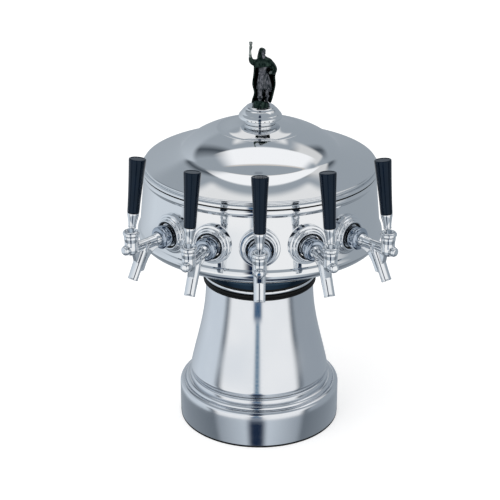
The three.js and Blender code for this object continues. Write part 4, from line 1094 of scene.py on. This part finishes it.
eyes = [limb("eye", [
    (side * 0.9, -3.5, eye_line + 0.1, 0.3, 0.3, 0),
    (side * 1.45, -3.5, eye_line + 0.15, 0.5, 0.45, 0),
    (side * 2, -3.2, eye_line + 0.1, 0.3, 0.3, 0),
]) for side in (-1, 1)]
lips = limb("lips", [
    (-0.9, -3.6, mouth_line, 0.25, 0.3, 0), (0, -4.1, mouth_line + 0.05, 0.42, 0.45, 0),
    (0.9, -3.6, mouth_line, 0.25, 0.3, 0),
])
beard = limb("beard", [
    (0, -2.2, mouth_line - 0.4, 2.6, 1.7, 0.06), (0, -3, -HEAD_HALF, 2.5, 1.9, 0.09),
    (0, -3.6, -HEAD_HALF - 2.6, 2.2, 1.6, 0.1), (0, -3.9, -HEAD_HALF - 5, 1.3, 1.1, 0.1),
    (0, -4, -HEAD_HALF - 6.4, 0.5, 0.5, 0),
], 9)
head = placed(
    joined(skull, neck_form, nose, brow, *cheeks, *eyes, lips, beard),
    Matrix.Translation((Vector(HEAD_PLACE) + Vector((0, 0, foot))) * MM)
    @ Matrix.Rotation(HEAD_TURN, 4, "Z"),
)
forearm = limb("forearm", [
    (-13.6, -1.4, 66, 2.1, 2.1, 0), (-14.3, -2, 72, 2, 2, 0), (-14.4, -2.3, 77, 1.5, 1.5, 0),
    (-14.1, -2.5, 80, 1.7, 1.5, 0), (-13.7, -2.6, 83, 2.3, 1.8, 0.06),
    (-13.6, -2.7, 85.6, 1.9, 1.6, 0.08),
], 5, foot)
far_hand = limb("far_hand", [
    (16.6, -6, 49.3, 2, 2, 0), (15, -8.4, 49.6, 1.7, 1.7, 0), (13.8, -10, 49.8, 2.2, 1.7, 0.05),
    (12.6, -11, 49.4, 1.9, 1.5, 0.08), (11.8, -11.3, 49, 1.1, 1, 0),
], 5, foot)
cup = placed(spun("cup", [
    (0, -3.6), (1.6, -3.6), (1.7, -3.2), (0.8, -2.6), (0.7, -1), (1.6, 0), (2.3, 1.4), (2.5, 3.2),
    (2.5, 4.6),
    (2, 4.6), (1.9, 1.8), (0, 1.2),
], TAP_TURNS), Matrix.Translation((Vector(CUP_PLACE) + Vector((0, 0, figure_high.z))) * MM))
dress(cast(head, smooth=2), WORN_BRONZE, crease=60)
# Painted highlight: the raised arm, the far hand and the cup get the paler bronze.
rubbed_highlit_parts = cast(forearm, far_hand, cup, smooth=2)
dress(rubbed_highlit_parts, RUBBED_HIGHLIT_BRONZE, crease=60)

# %% [markdown]
# The five taps are alike, so each of their pieces is modelled once on the middle tap, which points
# straight out of the front, and then copied round the drum, each copy with its own mesh.

# %% Copying round the drum
def round_the_drum(piece, name, material, body="tower", crease=35):
    """Copies a finished piece of the middle tap to the place of each tap."""
    for number, angle in tap_turn.items():
        node = f"{name}_{number}"
        twin = piece.copy()
        twin.data = piece.data.copy()
        twin.name = node + "_fine"
        bpy.context.collection.objects.link(twin)
        placed(twin, Matrix.Rotation(angle, 4, "Z"))
        stands_for = [node] if frame["nodes"].get(node) else ()
        dress(twin, material, body.format(number), stands_for, crease)
    bpy.data.objects.remove(piece)


print("tap turns in degrees:", [round(math.degrees(a), 1) for a in tap_turn.values()])

# %% [markdown]
# The escutcheon is the stepped plate between tap and drum. Seen from the front it is a target of
# rings: a broad flange, a step, a rounded lip and a deep cup in which a black washer lies. Its
# back is hollowed to the drum's curve, so the drum's own shape cuts it.

# %% Escutcheon
ESCUTCHEON_BACK = 158
escutcheon = spun("escutcheon", [
    (SHANK_HOLE, ESCUTCHEON_BACK),
    (27.6, ESCUTCHEON_BACK),
    (27.6, 171.6),
    *arc(26.4, 172.4, 1.2, 0, 90, 5),
    (24.4, 173.7),
    *arc(22.4, 174.4, 1.6, 0, 90, 5),
    (21.6, 176.2),
    (21.2, 177.2),
    *arc(19.6, 178.4, 1.6, 0, 180, 10),
    (18, 176.8),
    (SHANK_HOLE, 176.8),
    (SHANK_HOLE, ESCUTCHEON_BACK),
], 96)
placed(escutcheon, OUTWARD)
drum_form = spun("drum_form", [
    (0, roll_top - 2), (wall_foot_radius - 0.2, roll_top - 2), (wall_foot_radius - 0.2, roll_top + 0.6),
    (WALL_TOP_RADIUS + 0.6, rim_foot - 0.4), (WALL_TOP_RADIUS + 0.6, drum_top), (0, drum_top),
])
bored(escutcheon, drum_form)
round_the_drum(escutcheon, "escutcheon", CHROME)

# %% Black washer in the cup
WASHER_BORE = 15.8
WASHER_RADIUS = 17.9
WASHER_BACK = 177
WASHER_FRONT = 178.2
washer = ring("washer", WASHER_BORE, WASHER_RADIUS, WASHER_BACK, WASHER_FRONT, TAP_TURNS)
placed(washer, OUTWARD)
round_the_drum(washer, "shank_washer", RUBBER)

# %% [markdown]
# The coupling nut draws the tap's tail against the shank. It has no flats: a spanner with a pin
# grips it in one of the round holes in its rim.

# %% Coupling nut
NUT_RADIUS = 15.4
NUT_BACK = 179
NUT_FRONT = 196
PIN_HOLES = 6
PIN_HOLE_RADIUS = 2.6
PIN_HOLE_DEPTH = 4
PIN_HOLE_BACK = 7.5
nut = eased(spun("nut", [
    (11.4, NUT_BACK), (NUT_RADIUS - 1.4, NUT_BACK), (NUT_RADIUS - 1.4, NUT_BACK + 4),
    (NUT_RADIUS, NUT_BACK + 5), (NUT_RADIUS, NUT_FRONT - 2.4),
    (NUT_RADIUS - 2, NUT_FRONT - 0.6), (NUT_RADIUS - 3.4, NUT_FRONT), (9.3, NUT_FRONT),
    (9.3, NUT_FRONT - 5.4), (11.4, NUT_FRONT - 5.4), (11.4, NUT_BACK),
], 96), 0.35)
for index in range(PIN_HOLES):
    pin = added(
        bpy.ops.mesh.primitive_cylinder_add, "pin",
        vertices=24, radius=PIN_HOLE_RADIUS * MM, depth=2 * PIN_HOLE_DEPTH * MM,
    )
    side = Matrix.Rotation(2 * math.pi * (index + 0.25) / PIN_HOLES, 4, "Z")
    across = Matrix.Translation((NUT_RADIUS * MM, 0, (NUT_FRONT - PIN_HOLE_BACK) * MM))
    bored(nut, placed(pin, side @ across @ Matrix.Rotation(math.pi / 2, 4, "Y")))
placed(nut, OUTWARD)
round_the_drum(nut, "coupling_nut", DARK_CHROME, crease=40)

# %% [markdown]
# The tap's body is one casting: a neck from the nut, an upright barrel for the lever, a round nose,
# a spout, and a web that fills the corner between neck and spout. Castings have no sharp inside
# corners. So the parts are made roughly, joined, remeshed to one skin and smoothed, and the bores
# are cut last, because they are machined and keep their edges.

# %% Tap body
SPOUT_LEAN = math.radians(27)
SPOUT_DROP = 45.2
SPOUT_WIDE = 7.6
SPOUT_DEEP = 6.3
SPOUT_BORE = 4.4
TAP_VOXEL = 0.5


def at_barrel(height=0.0):
    return Matrix.Translation((0, -barrel_out * MM, (tap_height + height) * MM))


def spout_frame():
    run = SPOUT_DROP * math.tan(SPOUT_LEAN)
    start = Vector((0, run - barrel_out, tap_height)) * MM
    return Matrix.Translation(start) @ Matrix.Rotation(math.pi - SPOUT_LEAN, 4, "X")


spout_length = SPOUT_DROP / math.cos(SPOUT_LEAN)
neck = placed(spun("faucet", [
    (0, 186.4), (10.4, 186.4), (10.4, 189.6), (9, 189.8), (9, 197), (8.6, 199), (7.4, 203),
    (6.8, 214), (7, 226), (7.6, 236), (7.5, 244), (7, 251), (6.6, 254), (5.8, 256.4), (4, 257.6),
    (0, 257.8),
], TAP_TURNS), OUTWARD)
barrel = placed(spun("barrel", [
    (0, -8.4), (5, -8.2), (7.8, -6.8), (9, -4), (9.3, 0), (9.1, 6), (9.2, 11), (9.8, 15), (9.9, 18.9),
    (0, 18.9),
], TAP_TURNS), at_barrel())
spout = placed(spun("spout", [
    (0, -4), (4, -3), (6.4, 0), (6.9, 8), (6.6, 20), (6.3, 34), (6.2, spout_length - 1.6),
    (6.5, spout_length - 1.2), (6.5, spout_length), (0, spout_length),
], TAP_TURNS), spout_frame() @ Matrix.Diagonal((SPOUT_WIDE / SPOUT_DEEP, 1, 1, 1)))
WEB_SIDE = [
    (198, 4), (198, -9.6), (205, -11.6), (211, -14.6), (216.5, -20), (221, -27), (225.6, -36),
    (234, -36), (240, -10), (240, 4),
]
WEB_HALF = 4


def plate(name, side_view, half):
    """A flat plate in the tap's own upright plane, from a side view of (out, rise) points."""
    made = added(
        bpy.ops.mesh.primitive_circle_add, name,
        vertices=len(side_view), radius=MM, fill_type="NGON",
    )
    for vertex, (out, rise_at) in zip(made.data.vertices, side_view):
        vertex.co = Vector((-half, -out, tap_height + rise_at)) * MM
    bpy.ops.object.mode_set(mode="EDIT")
    bpy.ops.mesh.select_all(action="SELECT")
    bpy.ops.mesh.extrude_region_move(TRANSFORM_OT_translate={"value": (2 * half * MM, 0, 0)})
    bpy.ops.mesh.select_all(action="SELECT")
    bpy.ops.mesh.normals_make_consistent(inside=False)
    bpy.ops.object.mode_set(mode="OBJECT")
    return made


web = plate("web", WEB_SIDE, WEB_HALF)
faucet = joined(neck, barrel, spout, web)
modify(faucet, "REMESH", mode="VOXEL", voxel_size=TAP_VOXEL * MM)
modify(faucet, "SMOOTH", factor=0.5, iterations=12)
past_spout = spout_length + 4
TAIL_BORE = [(0, 180), (5, 180), (5, 236), (6, 243), (5, 250), (0, 250.4)]
BARREL_BORE = [(0, 0), (6.2, 0), (6.2, 30), (0, 30)]
SPOUT_BORING = [(0, 0), (SPOUT_BORE, 0), (SPOUT_BORE, past_spout), (0, past_spout)]
for outline, where in (
    (TAIL_BORE, OUTWARD), (BARREL_BORE, at_barrel()), (SPOUT_BORING, spout_frame()),
):
    bored(faucet, placed(spun("borer", outline, TAP_TURNS), where))
print("tap body:", len(faucet.data.polygons), "faces")
round_the_drum(faucet, "faucet_body", CHROME, crease=45)

# %% [markdown]
# The bonnet screws down on the barrel and holds the lever's ball. Its hole opens upwards like a
# funnel, so that the lever's neck has room when the tap is pulled open. The rim is knurled so that
# it can be tightened by hand.

# %% Bonnet
BONNET_FOOT = 4
BONNET_RADIUS = 11.2
BONNET_SEAT = 5.6
BONNET_MOUTH = 8.2
BONNET_FLUTES = 28
FLUTE_DEPTH = 0.22
RIM_BAND = 0.3


def knurled(piece, low, high, radius, depth):
    """Pushes upright flutes into a rim."""
    for vertex in piece.data.vertices:
        spot = Vector((vertex.co.x, vertex.co.y))
        if low * MM < vertex.co.z < high * MM and abs(spot.length - radius * MM) < RIM_BAND * MM:
            flute = math.cos(BONNET_FLUTES * math.atan2(spot.y, spot.x))
            spot.length -= depth * MM * (1 - flute) / 2
            vertex.co.x, vertex.co.y = spot
    return piece


bonnet = spun("bonnet", raised([
    (BONNET_SEAT, 0), (9.4, 0), (10.2, 0.5), (BONNET_RADIUS, 1.6), (BONNET_RADIUS, 2.8),
    (BONNET_RADIUS, 4), (10.4, 5.2), (9.8, 5.8), (9.2, 6.3), (8.7, 6.5), (BONNET_MOUTH, 6.4),
    (BONNET_SEAT, 0),
], BONNET_FOOT), 4 * BONNET_FLUTES)
knurled(bonnet, BONNET_FOOT + 1.2, BONNET_FOOT + 4.4, BONNET_RADIUS, FLUTE_DEPTH)
placed(bonnet, at_barrel(pivot_rise))
round_the_drum(bonnet, "bonnet", CHROME)

# %% [markdown]
# The lever is a ball on a stub that pushes the valve, a short neck, and the ferrule that the
# handle screws onto. It rides on its own body and tips forwards with the handle.

# %% Lever and handle
LEVER_LEAN = math.radians(8)
LEANING = at_barrel(pivot_rise) @ Matrix.Rotation(-LEVER_LEAN, 4, "X")
BALL = 5.8
FERRULE_FOOT = 14.5
FERRULE_TOP = 35
HANDLE_LENGTH = 73
STUB = 1.8
STUD = 3
STUD_REACH = 15
stub_turn = math.degrees(math.acos(STUB / BALL))
neck_turn = math.degrees(math.acos(STUD / BALL))
lever = spun("lever", [
    (0, -16.6), (1.5, -16.6), (STUB, -16.2), *arc(0, 0, BALL, -stub_turn, neck_turn, 16),
    (STUD, FERRULE_FOOT - 1), (3.4, FERRULE_FOOT - 0.2), (4.8, FERRULE_FOOT), (5.4, FERRULE_FOOT + 0.6),
    (5.5, FERRULE_FOOT + 1.8), (5.1, FERRULE_FOOT + 2.4), (5.3, FERRULE_FOOT + 4),
    *curve(
        (5.4, FERRULE_FOOT + 5), (5.9, FERRULE_FOOT + 9), (7.2, FERRULE_TOP - 6),
        (7.9, FERRULE_TOP - 2), 8,
    ),
    (8, FERRULE_TOP - 1), (7.9, FERRULE_TOP - 0.3), (7.3, FERRULE_TOP), (STUD, FERRULE_TOP),
    (STUD, FERRULE_TOP + STUD_REACH), (0, FERRULE_TOP + STUD_REACH),
], TAP_TURNS)
placed(lever, LEANING)
round_the_drum(lever, "lever", CHROME, "tap_lever_{}")

handle_foot = FERRULE_TOP + 0.3
handle_top = handle_foot + HANDLE_LENGTH
handle = spun("handle", [
    (0, handle_foot + 16), (3.3, handle_foot + 16), (3.3, handle_foot), (6.8, handle_foot),
    *arc(7.2, handle_foot + 0.9, 0.9, -90, 0, 4),
    *curve(
        (8.1, handle_foot + 2), (8.6, handle_foot + 24), (9.9, handle_top - 26),
        (11.2, handle_top - 6),
    ),
    (11.4, handle_top - 3),
    *arc(10.2, handle_top - 1.2, 1.2, 0, 90, 6),
    (9.4, handle_top),
    (9, handle_top - 0.5),
    (0, handle_top - 0.5),
], TAP_TURNS)
placed(handle, LEANING)
round_the_drum(handle, "handle", RESIN, "tap_lever_{}")

# %% [markdown]
# The pictures are to be judged with plain colours, so the view keeps Blender's standard transform.

# %% Finish
bpy.context.scene.view_settings.view_transform = "Standard"
